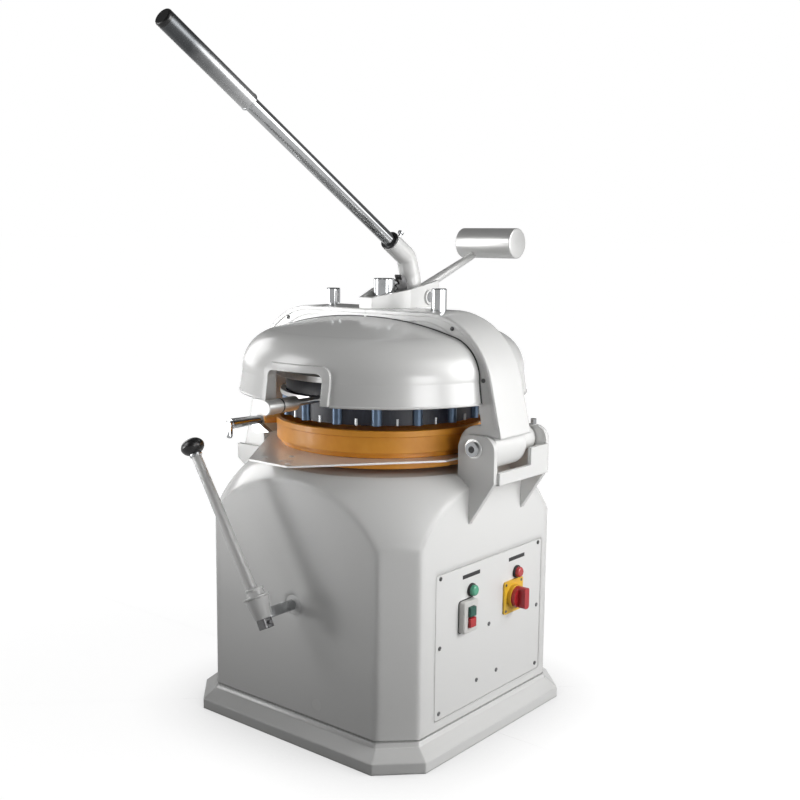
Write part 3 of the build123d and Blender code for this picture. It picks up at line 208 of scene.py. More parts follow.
# Floor's own light, with a painted shadow: full far off, darker near the object by distance and by
# ambient occlusion, weaker in mirrors
def floorGlow(spot):
    near, far = studio["floorLift"]
    lift = near + ramp(vectorMaths("LENGTH", spot), *studio["liftReach"]) * (far - near)
    reach = {"Distance": studio["paintedShadowReach"]}
    # Ambient occlusion darkens the floor's emission here: a painted contact shadow
    occlusion = spot.make("ShaderNodeAmbientOcclusion", {"samples": 8}, reach, "AO")
    shade = studio["paintedShadowDark"] + occlusion * (1.0 - studio["paintedShadowDark"])
    glancing = seenBy(spot.tree, "Is Glossy Ray", "Is Transmission Ray")
    seen = seenBy(spot.tree, "Is Camera Ray") + glancing * studio["floorMirror"]
    return {"Emission Color": lift * shade * seen}


# Floor: a flat grid of four squares, x and y from -half to half
def setFloor(spec):
    steps = np.linspace(-spec["floorHalf"], spec["floorHalf"], 3)
    across, along = np.meshgrid(steps, steps)
    points = np.stack([across.ravel(), along.ravel(), np.zeros(9)], axis=1)
    corners = np.array((0, 1, 3, 4))
    quads = np.stack([corners, corners + 1, corners + 4, corners + 3], axis=1)
    mesh = bpy.data.meshes.new("studioFloor")
    mesh.from_pydata(points.tolist(), [], quads.tolist())
    mesh.materials.append(finish("studioFloor", spec["floorCoat"], floorGlow))
    floor = bpy.data.objects.new("studioFloor", mesh)
    scene.collection.objects.link(floor)


# White to the camera; metal mirrors a dim room with boxes, each a cone of directions
def setWorld(spec):
    world = bpy.data.worlds.new("studioWorld")
    scene.world = world
    world.use_nodes = True
    tree = world.node_tree
    heading = Wire(tree, tree.nodes.new("ShaderNodeTexCoord").outputs["Generated"])
    room = spec["mirrorBase"]
    for bearing, rise, radius, soft, strength in spec["mirrorBoxes"].values():
        inside = vectorMaths("DOT_PRODUCT", heading, wayTo(bearing, rise))
        edge = [math.cos(math.radians(radius + side * soft)) for side in (1.0, -1.0)]
        room = room + ramp(inside, *edge) * strength
    direct = seenBy(tree, "Is Camera Ray")
    glancing = seenBy(tree, "Is Glossy Ray", "Is Transmission Ray")
    shown = direct + (1.0 - direct) * (spec["ambient"] + glancing * room)
    back = tree.nodes["Background"]
    back.inputs["Color"].default_value = (1.0, 1.0, 1.0, 1.0)
    tree.links.new(shown.socket, back.inputs["Strength"])


def setLamps(spec):
    for name, (bearing, rise, away, aim, size, power, spread) in spec["lamps"].items():
        light = bpy.data.lights.new(name, "AREA")
        light.size = size
        light.energy = power
        light.spread = math.radians(spread)
        holder = bpy.data.objects.new(name, light)
        scene.collection.objects.link(holder)
        out = wayTo(bearing, rise)
        holder.location = Vector((0.0, 0.0, aim)) + away * out
        holder.rotation_euler = out.to_track_quat("Z", "Y").to_euler()


setFloor(studio)
setWorld(studio)
setLamps(studio)
print("studio set")


# Normal with its edges rounded off
def softNormal(wire, radius):
    return wire.make("ShaderNodeBevel", {"samples": 4}, {"Radius": radius})


# Surface grain as a bump on soft edges; mirrors go without, because the few samples speckle there
def grain(height, strength, distance, edge=0.0008):
    soft = softNormal(height, edge)
    inputs = {"Height": height, "Strength": strength, "Distance": distance, "Normal": soft}
    return height.make("ShaderNodeBump", {}, inputs)


# How near a point lies to an edge: the angle between the softened and the true normal
def edgeMask(place, radius, low, high):
    true = place.make("ShaderNodeNewGeometry", {}, {}, "Normal")
    match = vectorMaths("DOT_PRODUCT", softNormal(place, radius), true)
    return ramp(1.0 - match, low, high)


# Colours of each finish, with the scales of its patterns
enamelLook = dict(
    fresh=(0.80, 0.80, 0.79), aged=(0.755, 0.752, 0.735), worn=(0.70, 0.69, 0.67),
    cloud=2.4, peel=260.0, rub=55.0, rubReach=0.0025,
    edge=0.003, pressedEdge=0.006, housingEdge=0.02,
)


# White sprayed enamel: faintly cloudy tone, fine orange peel, rubbed edges, corners as soft as edge
def whiteEnamel(edge):
    def recipe(place):
        cloud = noise(place, enamelLook["cloud"], 3.0, 0.5)
        peel = noise(place, enamelLook["peel"], 1.5, 0.4)
        patchy = ramp(noise(place, enamelLook["rub"], 4.0, 0.7), 0.48, 0.7)
        rubbed = edgeMask(place, enamelLook["rubReach"], 0.02, 0.25) * patchy
        tone = blend(ramp(cloud, 0.3, 0.8) * 0.3, enamelLook["fresh"], enamelLook["aged"])
        return {
            "Base Color": blend(rubbed * 0.4, tone, enamelLook["worn"]),
            "Roughness": 0.24 + cloud * 0.05 + rubbed * 0.1,
            "Coat Weight": 0.3 - rubbed * 0.2,
            "Normal": grain(peel, 0.04, 0.0005, edge),
        }
    return recipe


chromeLook = dict(
    bright=(0.56, 0.57, 0.58), dull=(0.40, 0.41, 0.42), smudge=24.0, polish=130.0,
)


# Chrome plate: finger smudges and faint polishing clouds
def chrome(place):
    smudge = noise(place, chromeLook["smudge"], 5.0, 0.6)
    polish = noise(place, chromeLook["polish"], 2.0, 0.5)
    return {
        "Base Color": blend(ramp(smudge, 0.5, 0.85), chromeLook["bright"], chromeLook["dull"]),
        "Roughness": 0.06 + ramp(smudge, 0.45, 0.8) * 0.09 + polish * 0.04,
    }


# Drawn metals: noise of lines and patches, their shares in the duller colour and in the roughness
# after its base, the patches' ranges there, and the lines' bump
steelLook = dict(
    bright=(0.78, 0.78, 0.77), dull=(0.62, 0.62, 0.61),
    lines=((18.0, 1400.0, 1400.0), 3.0, 0.6), patches=(9.0, 5.0, 0.6),
    tone=(0.5, 0.4), toneRange=(0.45, 0.8),
    rough=(0.22, 0.16, 0.1), roughRange=(0.4, 0.8), bump=0.06,
)
castLook = dict(
    bright=(0.74, 0.74, 0.73), dull=(0.55, 0.55, 0.54),
    lines=((40.0, 1600.0, 40.0), 2.0, 0.5), patches=(60.0, 4.0, 0.6),
    tone=(0.4, 0.5), toneRange=(0.5, 0.8),
    rough=(0.26, 0.12, 0.1), roughRange=(0.45, 0.8), bump=0.08,
)
postLook = dict(
    bright=(0.13, 0.19, 0.28), dull=(0.05, 0.08, 0.13),
    lines=((700.0, 700.0, 12.0), 3.0, 0.55), patches=(30.0, 4.0, 0.6),
    tone=(0.5, 0.45), toneRange=(0.45, 0.75),
    rough=(0.24, 0.18, 0.0), roughRange=(0.45, 0.75), bump=0.05,
)
ironLook = dict(
    bright=(0.22, 0.22, 0.225), dull=(0.06, 0.058, 0.055),
    lines=((40.0, 40.0, 900.0), 2.0, 0.5), patches=(18.0, 5.0, 0.6),
    tone=(0.0, 1.0), toneRange=(0.38, 0.7),
    rough=(0.3, 0.16, 0.1), roughRange=(0.4, 0.7), bump=0.06,
)


# Brushed sheet, turned aluminium, anodised posts or oily iron, by its look
def drawnMetal(look):
    def recipe(place):
        lines, patches = streaks(place, *look["lines"]), noise(place, *look["patches"])
        (lined, patched), (gloss, scored, stained) = look["tone"], look["rough"]
        dulled = lines * lined + ramp(patches, *look["toneRange"]) * patched
        return {
            "Base Color": blend(dulled, look["bright"], look["dull"]),
            "Roughness": gloss + lines * scored + ramp(patches, *look["roughRange"]) * stained,
            "Normal": grain(lines, look["bump"], 0.0002),
        }
    return recipe


plateLook = dict(
    clean=(0.86, 0.37, 0.035), deep=(0.72, 0.27, 0.018), dusty=(0.86, 0.50, 0.16),
    cloud=11.0, scuff=(60.0, 60.0, 320.0), flour=42.0, edge=0.0015,
)


# Ochre food-grade plastic: cloudy moulding, knife scuffs, a little flour
def ochrePlastic(place):
    cloud = noise(place, plateLook["cloud"], 5.0, 0.6)
    scuff = streaks(place, plateLook["scuff"], 4.0, 0.7)
    flour = ramp(noise(place, plateLook["flour"], 6.0, 0.72), 0.6, 0.85)
    base = blend(ramp(cloud, 0.35, 0.7), plateLook["clean"], plateLook["deep"])
    return {
        "Base Color": blend(flour * 0.3, base, plateLook["dusty"]),
        "Roughness": 0.34 + ramp(scuff, 0.4, 0.75) * 0.16,
        "Coat Weight": 0.16 - flour * 0.12,
        "Normal": grain(scuff, 0.06, 0.0004, plateLook["edge"]),
    }


drumLook = dict(
    dark=(0.006, 0.008, 0.018), worn=(0.03, 0.036, 0.055), rub=(70.0, 70.0, 14.0),
)


# Dark blued drum with vertical rubbing
def navyDrum(place):
    rub = streaks(place, drumLook["rub"], 4.0, 0.65)
    return {
        "Base Color": blend(ramp(rub, 0.5, 0.8), drumLook["dark"], drumLook["worn"]),
        "Roughness": 0.3 + rub * 0.25,
        "Normal": grain(rub, 0.04, 0.0004),
    }


# Moulded plastics: colour, shaded colour and roughness
plasticLook = {
    "black": ((0.016, 0.016, 0.017), (0.008, 0.008, 0.009), 0.24),
    "green": ((0.012, 0.10, 0.07), (0.006, 0.06, 0.045), 0.26),
    "red": ((0.50, 0.025, 0.03), (0.36, 0.012, 0.02), 0.26),
    "yellow": ((0.80, 0.50, 0.035), (0.68, 0.36, 0.02), 0.3),
    "grey": ((0.70, 0.69, 0.67), (0.58, 0.57, 0.55), 0.34),
}
mouldLook = dict(spark=900.0, shade=35.0, rubReach=0.0012)


# Moulded plastic of one colour: fine spark grain, soft mould shading, shine on rubbed edges
def moulded(colour, dark, shine):
    def recipe(place):
        spark = noise(place, mouldLook["spark"], 2.0, 0.5)
        shade = noise(place, mouldLook["shade"], 4.0, 0.6)
        rubbed = edgeMask(place, mouldLook["rubReach"], 0.03, 0.3)
        return {
            "Base Color": blend(ramp(shade, 0.35, 0.75) * 0.6, colour, dark),
            "Roughness": shine + spark * 0.12 - rubbed * 0.08,
            "Coat Weight": 0.15 + rubbed * 0.2,
            "Normal": grain(spark, 0.06, 0.00015),
        }
    return recipe


# Lamps on the panel: y and z of each middle
lampMiddles = {"green": (-0.062, 0.322), "red": (0.106, 0.322)}
lensLook = dict(
    green=((0.10, 0.45, 0.28), (0.04, 0.28, 0.16)),
    red=((0.60, 0.05, 0.05), (0.38, 0.02, 0.03)),
    ribs=900.0, haze=120.0, edge=0.0006,
)


# Lamp lens: coloured plastic with fine rings of ribs about the lamp's axis, which runs along X
def lens(colour, dark, middle):
    def recipe(place):
        across = (0.0, -middle[0], -middle[1])
        inputs = {"Vector": place, "Location": across, "Scale": (0.0, 1.0, 1.0)}
        reach = vectorMaths("LENGTH", place.make("ShaderNodeMapping", {}, inputs))
        ribs = reach.maths("SINE", reach * (lensLook["ribs"] * math.pi)) * 0.5 + 0.5
        haze = noise(place, lensLook["haze"], 3.0, 0.5)
        return {
            "Base Color": blend(ribs * 0.35 + haze * 0.3, colour, dark),
            "Roughness": 0.16 + haze * 0.1,
            "Coat Weight": 0.4 + haze * 0.2,
            "Normal": grain(ribs, 0.12, 0.0003, lensLook["edge"]),
        }
    return recipe


gripLook = dict(
    pale=(0.62, 0.625, 0.63), dark=(0.10, 0.105, 0.11), streak=(0.30, 0.305, 0.31),
    foot=(0.0, -0.3965, 1.2825), along=(0.0, -0.8526, 0.5225), length=0.225,
    drawn=(160.0, 8.0, 8.0), worn=30.0,
)


# Steel grip sleeve, blackened by hands towards its tip: share = (point - foot) . along / length
def gripSleeve(place):
    apart = vectorMaths("SUBTRACT", place, gripLook["foot"], "Vector")
    reach = vectorMaths("DOT_PRODUCT", apart, gripLook["along"])
    drawn = streaks(place, gripLook["drawn"], 2.0, 0.5)
    worn = noise(place, gripLook["worn"], 4.0, 0.6)
    share = ramp(reach * (1.0 / gripLook["length"]) + (worn - 0.5) * 0.3, 0.02, 0.75)
    tone = blend(share, gripLook["pale"], gripLook["dark"])
    return {
        "Base Color": blend(ramp(drawn, 0.5, 0.8) * 0.3, tone, gripLook["streak"]),
        "Roughness": 0.2 + drawn * 0.1 + share * 0.12,
    }


beltLook = dict(
    face=(0.02, 0.02, 0.021), dusty=(0.09, 0.085, 0.08), weave=700.0, dust=40.0,
)


# Belt rubber: fabric texture and dust
def beltRubber(place):
    cells = {"Vector": place, "Scale": beltLook["weave"]}
    weave = place.make("ShaderNodeTexVoronoi", {}, cells)
    dust = noise(place, beltLook["dust"], 4.0, 0.65)
    return {
        "Base Color": blend(ramp(dust, 0.5, 0.8) * 0.7, beltLook["face"], beltLook["dusty"]),
        "Roughness": 0.6 + weave * 0.2,
        "Normal": grain(weave, 0.1, 0.0002),
    }


metal = {"Metallic": 1.0}
glossy = {"Coat Roughness": 0.12}
enamelled = {"Coat Roughness": 0.1, "IOR": 1.7}
finishes = {
    "white_enamel": finish("whiteEnamel", enamelled, whiteEnamel(enamelLook["edge"])),
    "chrome": finish("chromePlate", metal, chrome),
    "stainless": finish("brushedSteel", metal, drawnMetal(steelLook)),
    "cast_aluminium": finish("turnedAluminium", metal, drawnMetal(castLook)),
    "orange_plastic": finish("ochrePlastic", glossy, ochrePlastic),
    "navy_drum": finish("navyDrum", {}, navyDrum),
    "blue_post": finish("bluePost", {"Metallic": 0.55}, drawnMetal(postLook)),
    "grip_rubber": finish("gripSleeve", {"Metallic": 0.9}, gripSleeve),
    "machine_iron": finish("machinedIron", metal, drawnMetal(ironLook)),
    "belt_rubber": finish("beltRubber", {}, beltRubber),
}
for tint, look in plasticLook.items():
    finishes[tint + "_plastic"] = finish(tint + "Plastic", glossy, moulded(*look))

# Nodes whose finish isn't their slot's
satinPaint = finish("satinPaint", {"Metallic": 0.5}, drawnMetal(steelLook))
ownFinish = {
    "carrier_sheet": finish("satinSheet", {"Metallic": 0.4}, drawnMetal(steelLook)),
    "counterweight_arm": satinPaint,
    "lever_bush": finishes["white_enamel"],
}
for node, name, edge in (("body_housing", "housingEnamel", "housingEdge"),
                         ("base_plinth", "plinthEnamel", "pressedEdge"),
                         ("arch_frame", "archEnamel", "pressedEdge")):
    ownFinish[node] = finish(name, enamelled, whiteEnamel(enamelLook[edge]))
for tint, middle in lampMiddles.items():
    recipe = lens(*lensLook[tint], middle)
    ownFinish[tint + "_lens"] = finish(tint + "Lens", glossy, recipe)

for part in frame["record"]["subparts"]:
    node = frame["nodes"][part["node"]]
    coat = ownFinish.get(part["node"]) or finishes[part["material_slot"]]
    if not node.material_slots:
        node.data.materials.append(coat)
    for held in node.material_slots:
        held.material = coat
print("finishes on all nodes")

meshing = dict(merge=1e-6, crease=42.0)


# Quad surface over grids of points, copies x rows x columns. A closed way joins its last line to
# its first, and merging closes a pole, where the points of a line meet.
def surface(name, grids, closedRows, closedColumns):
    grids = grids if grids.ndim == 4 else grids[None]
    copies, rows, columns = grids.shape[:3]
    order = np.arange(copies * rows * columns).reshape(copies, rows, columns)
    if closedRows:
        order = np.concatenate([order, order[:, :1]], axis=1)
    if closedColumns:
        order = np.concatenate([order, order[:, :, :1]], axis=2)
    corners = (order[:, :-1, :-1], order[:, :-1, 1:], order[:, 1:, 1:], order[:, 1:, :-1])
    quads = np.stack(corners, axis=-1).reshape(-1, 4)
    mesh = bpy.data.meshes.new(name)
    mesh.from_pydata(grids.reshape(-1, 3).tolist(), [], quads.tolist())
    clean = bmesh.new()
    clean.from_mesh(mesh)
    bmesh.ops.remove_doubles(clean, verts=clean.verts, dist=meshing["merge"])
    bmesh.ops.recalc_face_normals(clean, faces=clean.faces)
    clean.to_mesh(mesh)
    clean.free()
    mesh.polygons.foreach_set("use_smooth", np.ones(len(mesh.polygons), dtype=bool))
    mesh.set_sharp_from_angle(angle=math.radians(meshing["crease"]))
    piece = bpy.data.objects.new(name, mesh)
    scene.collection.objects.link(piece)
    return piece


# A piece with a slot's finish or its own coat, which moves with a body and may stand for CAD nodes
def addPiece(name, grids, slotName, body, *stoodFor,
             closedRows=False, closedColumns=True, coat=None):
    piece = surface(name, grids, closedRows, closedColumns)
    piece.data.materials.append(coat or finishes[slotName])
    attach(piece, body)
    if stoodFor:
        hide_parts(*stoodFor)


# Bearings round a full turn
def bearings(steps):
    return np.linspace(0.0, math.tau, steps, endpoint=False)


# Turned form: point(i, j) = foot + height(i, j) axis + radius(i, j) (side cos a_j + other sin a_j)
def turned(radius, height, foot, axis, steps):
    axis = np.array(axis) / np.linalg.norm(axis)
    side = np.cross(axis, (0.0, 0.0, 1.0) if abs(axis[2]) < 0.9 else (1.0, 0.0, 0.0))
    side = side / np.linalg.norm(side)
    other = np.cross(axis, side)
    turn = bearings(steps)[:, None]
    ring = np.cos(turn) * side + np.sin(turn) * other
    profile = (np.array(radius), np.array(height))
    radius, height = (one if one.ndim == 2 else one[:, None] for one in profile)
    return np.array(foot) + height[..., None] * axis + radius[..., None] * ring


# Profile carried along a path: point(i, j) = path_i + across_j normal_i + rise_j upward_i
def carried(across, rise, path, normal, upward):
    normal, upward = (np.broadcast_to(way, path.shape)[:, None] for way in (normal, upward))
    return path[:, None] + across[:, None] * normal + rise[:, None] * upward


# Carried profile closed at each end by the path's end point
def capped(strip, path):
    first, last = (np.repeat(path[end][None, None], strip.shape[1], axis=1) for end in (0, -1))
    return np.concatenate([first, strip, last], axis=0)


# Closed round bar: a circle carried along a path
def rounded(path, normal, upward, radius, steps):
    turn = bearings(steps)
    bar = carried(radius * np.cos(turn), radius * np.sin(turn), path, normal, upward)
    return capped(bar, path)


# Lines closed at each end by the middle of their end points
def closedEnds(lines):
    first, last = (np.repeat(lines[:, end].mean(axis=0)[None, None], len(lines), axis=0)
                   for end in (0, -1))
    return np.concatenate([first, lines, last], axis=1)


# The piece and its mirror image across x = 0
def mirrored(grid):
    return np.stack([grid, grid * (-1, 1, 1)])


slottedScrew = dict(
    radius=0.0045, rim=0.0012, crown=0.0012, slotHalf=0.0007, slotDeep=0.001,
    slotTurn=0.6, slotSoft=0.4, steps=36,
    shares=(0.0, 0.14, 0.2, 0.35, 0.5, 0.65, 0.8, 0.92, 1.0),
)


# Slotted pan head: height = rim + crown (1 - s^2) - slotDeep where |s radius sin a| < slotHalf
def slottedHeads(spec, feet, axis):
    share = np.array(spec["shares"])[:, None]
    off = np.abs(share * spec["radius"] * np.sin(bearings(spec["steps"]) + spec["slotTurn"]))
    soft = spec["slotSoft"] * spec["slotHalf"]
    cut = np.clip((spec["slotHalf"] - off) / soft + 0.5, 0.0, 1.0)
    top = spec["rim"] + spec["crown"] * (1.0 - share ** 2) - spec["slotDeep"] * cut
    height = np.concatenate([top, np.zeros((2, spec["steps"]))])
    radius = np.array((*spec["shares"], 1.0, 0.0)) * spec["radius"]
    return np.stack([turned(radius, height, foot, axis, spec["steps"]) for foot in feet])


panelFace = 0.291
panelScrews = [(panelFace, y, z) for y in (-0.167, 0.191) for z in (0.369, 0.2255, 0.089)]
panelScrews += [(panelFace, y, z) for y, z in ((0.005, 0.231), (-0.037, 0.120), (0.036, 0.120))]
addPiece("panelScrewHeads", slottedHeads(slottedScrew, panelScrews, (1, 0, 0)),
         "machine_iron", "frame", "panel_screws")

archFront = -0.062
archScrews = [(side * x, archFront, z)
              for side in (1, -1) for x, z in ((0.31095, 0.7555), (0.23167, 0.85422))]
addPiece("archScrewHeads", slottedHeads(slottedScrew, archScrews, (0, -1, 0)),
         "machine_iron", "head", "dome_screws")

isolatorScrew = dict(slottedScrew, radius=0.0032, rim=0.0006, crown=0.0008,
                     slotHalf=0.0005, slotDeep=0.0007)
isolatorPlate = dict(middle=(0.295, 0.092, 0.272), sides=(-0.029, 0.029))
isolatorCorners = [np.array(isolatorPlate["middle"]) + (0.0, y, z)
                   for y in isolatorPlate["sides"] for z in isolatorPlate["sides"]]
addPiece("isolatorScrewHeads", slottedHeads(isolatorScrew, isolatorCorners, (1, 0, 0)),
         "machine_iron", "frame")
print("screw heads made")

bezel = dict(
    inner=0.0117, outer=0.0138, ridge=0.0004, ridges=30, footIn=0.0002,
    lipIn=0.001, wall=(0.0004, 0.0040), depth=0.0052, steps=240,
)


# Knurled lamp ring: radius = outer + ridge cos(ridges a) on its wall, smooth on its lip and bore
def knurledRing(spec, foot, axis):
    inner, outer, depth = spec["inner"], spec["outer"], spec["depth"]
    base = np.array([inner, outer - spec["footIn"], outer, outer, outer - spec["lipIn"], inner])
    ridge = np.array([0.0, 0.0, 1.0, 1.0, 0.0, 0.0]) * spec["ridge"]
    wave = np.cos(spec["ridges"] * bearings(spec["steps"]))
    height = (0.0, 0.0, *spec["wall"], depth, depth)
    return turned(base[:, None] + ridge[:, None] * wave, height, foot, axis, spec["steps"])


bezels = [knurledRing(bezel, (panelFace, *middle), (1, 0, 0)) for middle in lampMiddles.values()]
addPiece("knurledBezels", np.stack(bezels), "black_plastic", "frame", "lamp_bezels",
         closedRows=True)

leverAlong = gripLook["along"]
roundingPivot = (0.006, -0.378, 0.286)
rodAlong = (-0.5417, 0.0, 0.8406)
hinge = dict(side=0.300, height=0.618, earFront=-0.0760, pinFront=-0.084)
rings = {
    "socketSeal": dict(
        foot=(0.0, 0.0187, 1.028), axis=leverAlong, inner=0.0147, outer=0.0212,
        deep=0.0045, round=0.0018, slot="black_plastic", body="press_lever"),
    "gripFerrule": dict(
        foot=(0.0, -0.3945, 1.2810), axis=leverAlong, inner=0.0147, outer=0.0188,
        deep=0.0050, round=0.0016, slot="chrome", body="press_lever"),
    "handleSeal": dict(
        foot=(0.02635, -0.3460, 0.7076), axis=(0.076, -0.997, 0.0), inner=0.0130,
        outer=0.0151, deep=0.0040, round=0.0009, slot="black_plastic",
        body="cut_lever"),
    "ballFerrule": dict(
        foot=(-0.18595, -0.3780, 0.58385), axis=rodAlong, inner=0.0098,
        outer=0.0132, deep=0.0060, round=0.0014, slot="chrome",
        body="rounding_lever"),
    "pinWasher": dict(
        foot=(hinge["side"], hinge["earFront"], hinge["height"]), axis=(0, -1, 0),
        inner=0.0152, outer=0.0205, deep=0.0016, round=0.0006,
        slot="stainless", body="frame"),
}


# Ring: a rectangle of radius and height whose outer corners are quarter circles
def plainRing(spec, cornerSteps=5, steps=72):
    quarter = np.linspace(0.0, math.pi / 2, cornerSteps)
    bend, reach, deep = spec["round"], spec["outer"] - spec["round"], spec["deep"]
    low = (reach + bend * np.sin(quarter), bend - bend * np.cos(quarter))
    high = (reach + bend * np.cos(quarter), deep - bend + bend * np.sin(quarter))
    radius = np.concatenate([[spec["inner"]], low[0], high[0], [spec["inner"]]])
    height = np.concatenate([[0.0], low[1], high[1], [deep]])
    return turned(radius, height, spec["foot"], spec["axis"], steps)


for name, spec in rings.items():
    addPiece(name, plainRing(spec), spec["slot"], spec["body"], closedRows=True)
print("rings made")

# Dome's section as radius and height; dark joint bars by plane of y and gap; rims by first and last
# bearing
dome = dict(
    wall=(0.314, 0.708), shoulder=(0.308, 0.752), bend=(0.291, 0.806),
    turn=(0.240, 0.838), slope=(0.125, 0.862), crown=(0.0, 0.868),
    jointRadius=0.0019, rimRadius=0.0029, rimMiddle=0.3125, rimSteps=60,
    seals={"frontDomeJoint": (-0.0623, 0.001), "rearDomeJoint": (0.0463, 0.0145)},
    rims={"rimRight": (20.4, 78.3), "rimLeft": (-78.3, -11.2), "rimRear": (98.7, 261.3)},
)


# Circle through three points of a plane: its centre is where the bisectors of two chords meet
def arcThrough(first, middle, last, steps):
    first, middle, last = np.array(first), np.array(middle), np.array(last)
    chords = np.array([middle - first, last - first])
    centre = first + np.linalg.solve(2.0 * chords, (chords ** 2).sum(axis=1))
    start, end = (math.atan2(*(point - centre)[::-1]) for point in (first, last))
    turn = np.linspace(start, end, steps)
    ring = np.stack([np.cos(turn), np.sin(turn)], axis=1)
    return centre + np.linalg.norm(first - centre) * ring


# Dome cut by a plane of constant y, down to a gap: x = sqrt(r^2 - y^2) along a wall and two arcs
def domeOutline(spec, plane, gap):
    wall = np.linspace(spec["wall"], spec["shoulder"], 6)
    lower = arcThrough(spec["shoulder"], spec["bend"], spec["turn"], 24)
    upper = arcThrough(spec["turn"], spec["slope"], spec["crown"], 36)
    radius, height = np.concatenate([wall, lower[1:], upper[1:]]).T
    kept = radius > math.hypot(plane, gap)
    return np.stack([np.sqrt(radius[kept] ** 2 - plane ** 2), height[kept]], axis=1)


# Facing way of a path in a plane of constant y, and the way across it
def flatWays(path, facing):
    along = np.gradient(path, axis=0)
    along = along / np.linalg.norm(along, axis=1)[:, None]
    outward = np.array((0.0, facing, 0.0))
    return outward, np.cross(along, outward)


# Black round bar along the dome's outline where the dome meets the arch, making a dark line along
# that joint
def domeJoint(spec, plane, gap):
    path = np.insert(domeOutline(spec, plane, gap), 1, plane, axis=1)
    return mirrored(rounded(path, *flatWays(path, 1.0), spec["jointRadius"], 10))


for name, (plane, gap) in dome["seals"].items():
    addPiece(name, domeJoint(dome, plane, gap), "black_plastic", "head")


# Rolled rim: a circle carried round the dome's foot between two bearings from -Y
def rolledRim(spec, first, last):
    bearing = np.radians(np.linspace(first, last, spec["rimSteps"]))
    outward = np.stack([np.sin(bearing), -np.cos(bearing), np.zeros(spec["rimSteps"])], axis=1)
    path = outward * spec["rimMiddle"] + (0.0, 0.0, spec["wall"][1])
    return rounded(path, outward, (0.0, 0.0, 1.0), spec["rimRadius"], 12)


for name, (first, last) in dome["rims"].items():
    addPiece(name, rolledRim(dome, first, last), "white_enamel", "head")
print("dome seals and rims made")

# Arch's outer edge as x and z; rims by plane of y, facing way and gap
archRim = dict(
    legFoot=(0.3487, 0.642), side=(0.3245, 0.7501), shoulder=(0.2789, 0.8330),
    crown=(0.1512, 0.8785), legSteps=12, legStart=2, half=0.0045, proud=0.0016,
    bevel=0.0007,
    rims={"archRimFront": (archFront, -1.0, 0.0), "archRimBack": (0.046, 1.0, 0.0145)},
)


# Raised rim: a bevelled strip carried up one leg and over the crown to a gap, and mirrored
def raisedRim(spec, plane, facing, gap):
    leg = np.linspace(spec["legFoot"], spec["side"], spec["legSteps"])[spec["legStart"]:-1]
    over = arcThrough(spec["side"], spec["shoulder"], spec["crown"], 40)
    top = np.linspace(spec["crown"], (gap, spec["crown"][1]), spec["legSteps"])[1:]
    path = np.insert(np.concatenate([leg, over, top]), 1, plane, axis=1)
    outward, normal = flatWays(path, facing)
    wide, bevel, proud = spec["half"], spec["bevel"], spec["proud"]
    across = np.array((-wide, wide, wide, wide - bevel, bevel - wide, -wide))
    rise = np.array((0.0, 0.0, proud - bevel, proud, proud, proud - bevel))
    return mirrored(capped(carried(across, rise, path, normal, outward), path))


for name, (plane, facing, gap) in archRim["rims"].items():
    addPiece(name, raisedRim(archRim, plane, facing, gap), "white_enamel", "head")

# Arch's inner edge as x and z; webs by their two planes of y
archWeb = dict(
    side=(0.296, 0.7401), shoulder=(0.2575, 0.8173), crown=(0.1056, 0.858),
    span=(0.112, 0.236), lap=0.003,
    webs={"archWebFront": (-0.0612, -0.056), "archWebBack": (0.0452, 0.040)},
)


# Thin web between dome and arch: z from the dome's outline to the arch's inner edge at each x
def crescent(spec, face, rear):
    across = np.linspace(*spec["span"], 32)
    edge = arcThrough(spec["side"], spec["shoulder"], spec["crown"], 120)[::-1]
    outline = domeOutline(dome, face, 0.0)[::-1]
    low = np.interp(across, *outline.T) - spec["lap"]
    high = np.maximum(np.interp(across, *edge.T), low + spec["lap"]) + spec["lap"]
    corners = ((face, high), (face, low), (rear, low), (rear, high))
    lines = [np.stack([across, np.full(len(across), y), z], axis=1) for y, z in corners]
    return mirrored(closedEnds(np.stack(lines)))


for name, (face, rear) in archWeb["webs"].items():
    addPiece(name, crescent(archWeb, face, rear), "white_enamel", "head",
             closedRows=True, closedColumns=False)
print("arch rims and webs made")

cove = dict(
    half=0.2913, cut=0.062, bend=0.007, foot=0.043, rise=0.013, run=0.013,
    slope=0.7241, steps=9,
)


# Path round a square with cut corners, its eight corners bent to arcs: centres step in by the bend
def cutSquare(half, cut, bend, steps):
    edge = half - cut
    corners = np.array([(edge, -half), (half, -edge), (half, edge), (edge, half),
                        (-edge, half), (-half, edge), (-half, -edge), (-edge, -half)])
    bearing = np.radians(np.arange(8) * 45.0 - 67.5)
    inset = bend / math.cos(math.radians(22.5))
    centres = corners - inset * np.stack([np.cos(bearing), np.sin(bearing)], axis=1)
    turn = bearing[:, None] + np.radians(np.linspace(-22.5, 22.5, steps))
    heading = np.stack([np.cos(turn), np.sin(turn)], axis=-1)
    return (centres[:, None] + bend * heading).reshape(-1, 2), heading.reshape(-1, 2)


# Cove where the housing stands on its plinth: an arc tangent to the wall and to the sloping skirt
def baseCove(spec):
    flat, heading = cutSquare(spec["half"], spec["cut"], spec["bend"], spec["steps"])
    path, normal = np.insert(flat, 2, spec["foot"], axis=1), np.insert(heading, 2, 0.0, axis=1)
    share = np.linspace(0.0, 1.0, spec["steps"])
    across = spec["run"] * share ** 2
    rise = spec["rise"] * (1.0 - share) ** 2 - spec["slope"] * across
    return carried(np.append(across, 0.0), np.append(rise, 0.0), path, normal, (0.0, 0.0, 1.0))


addPiece("baseCove", baseCove(cove), "white_enamel", "frame", closedRows=True)

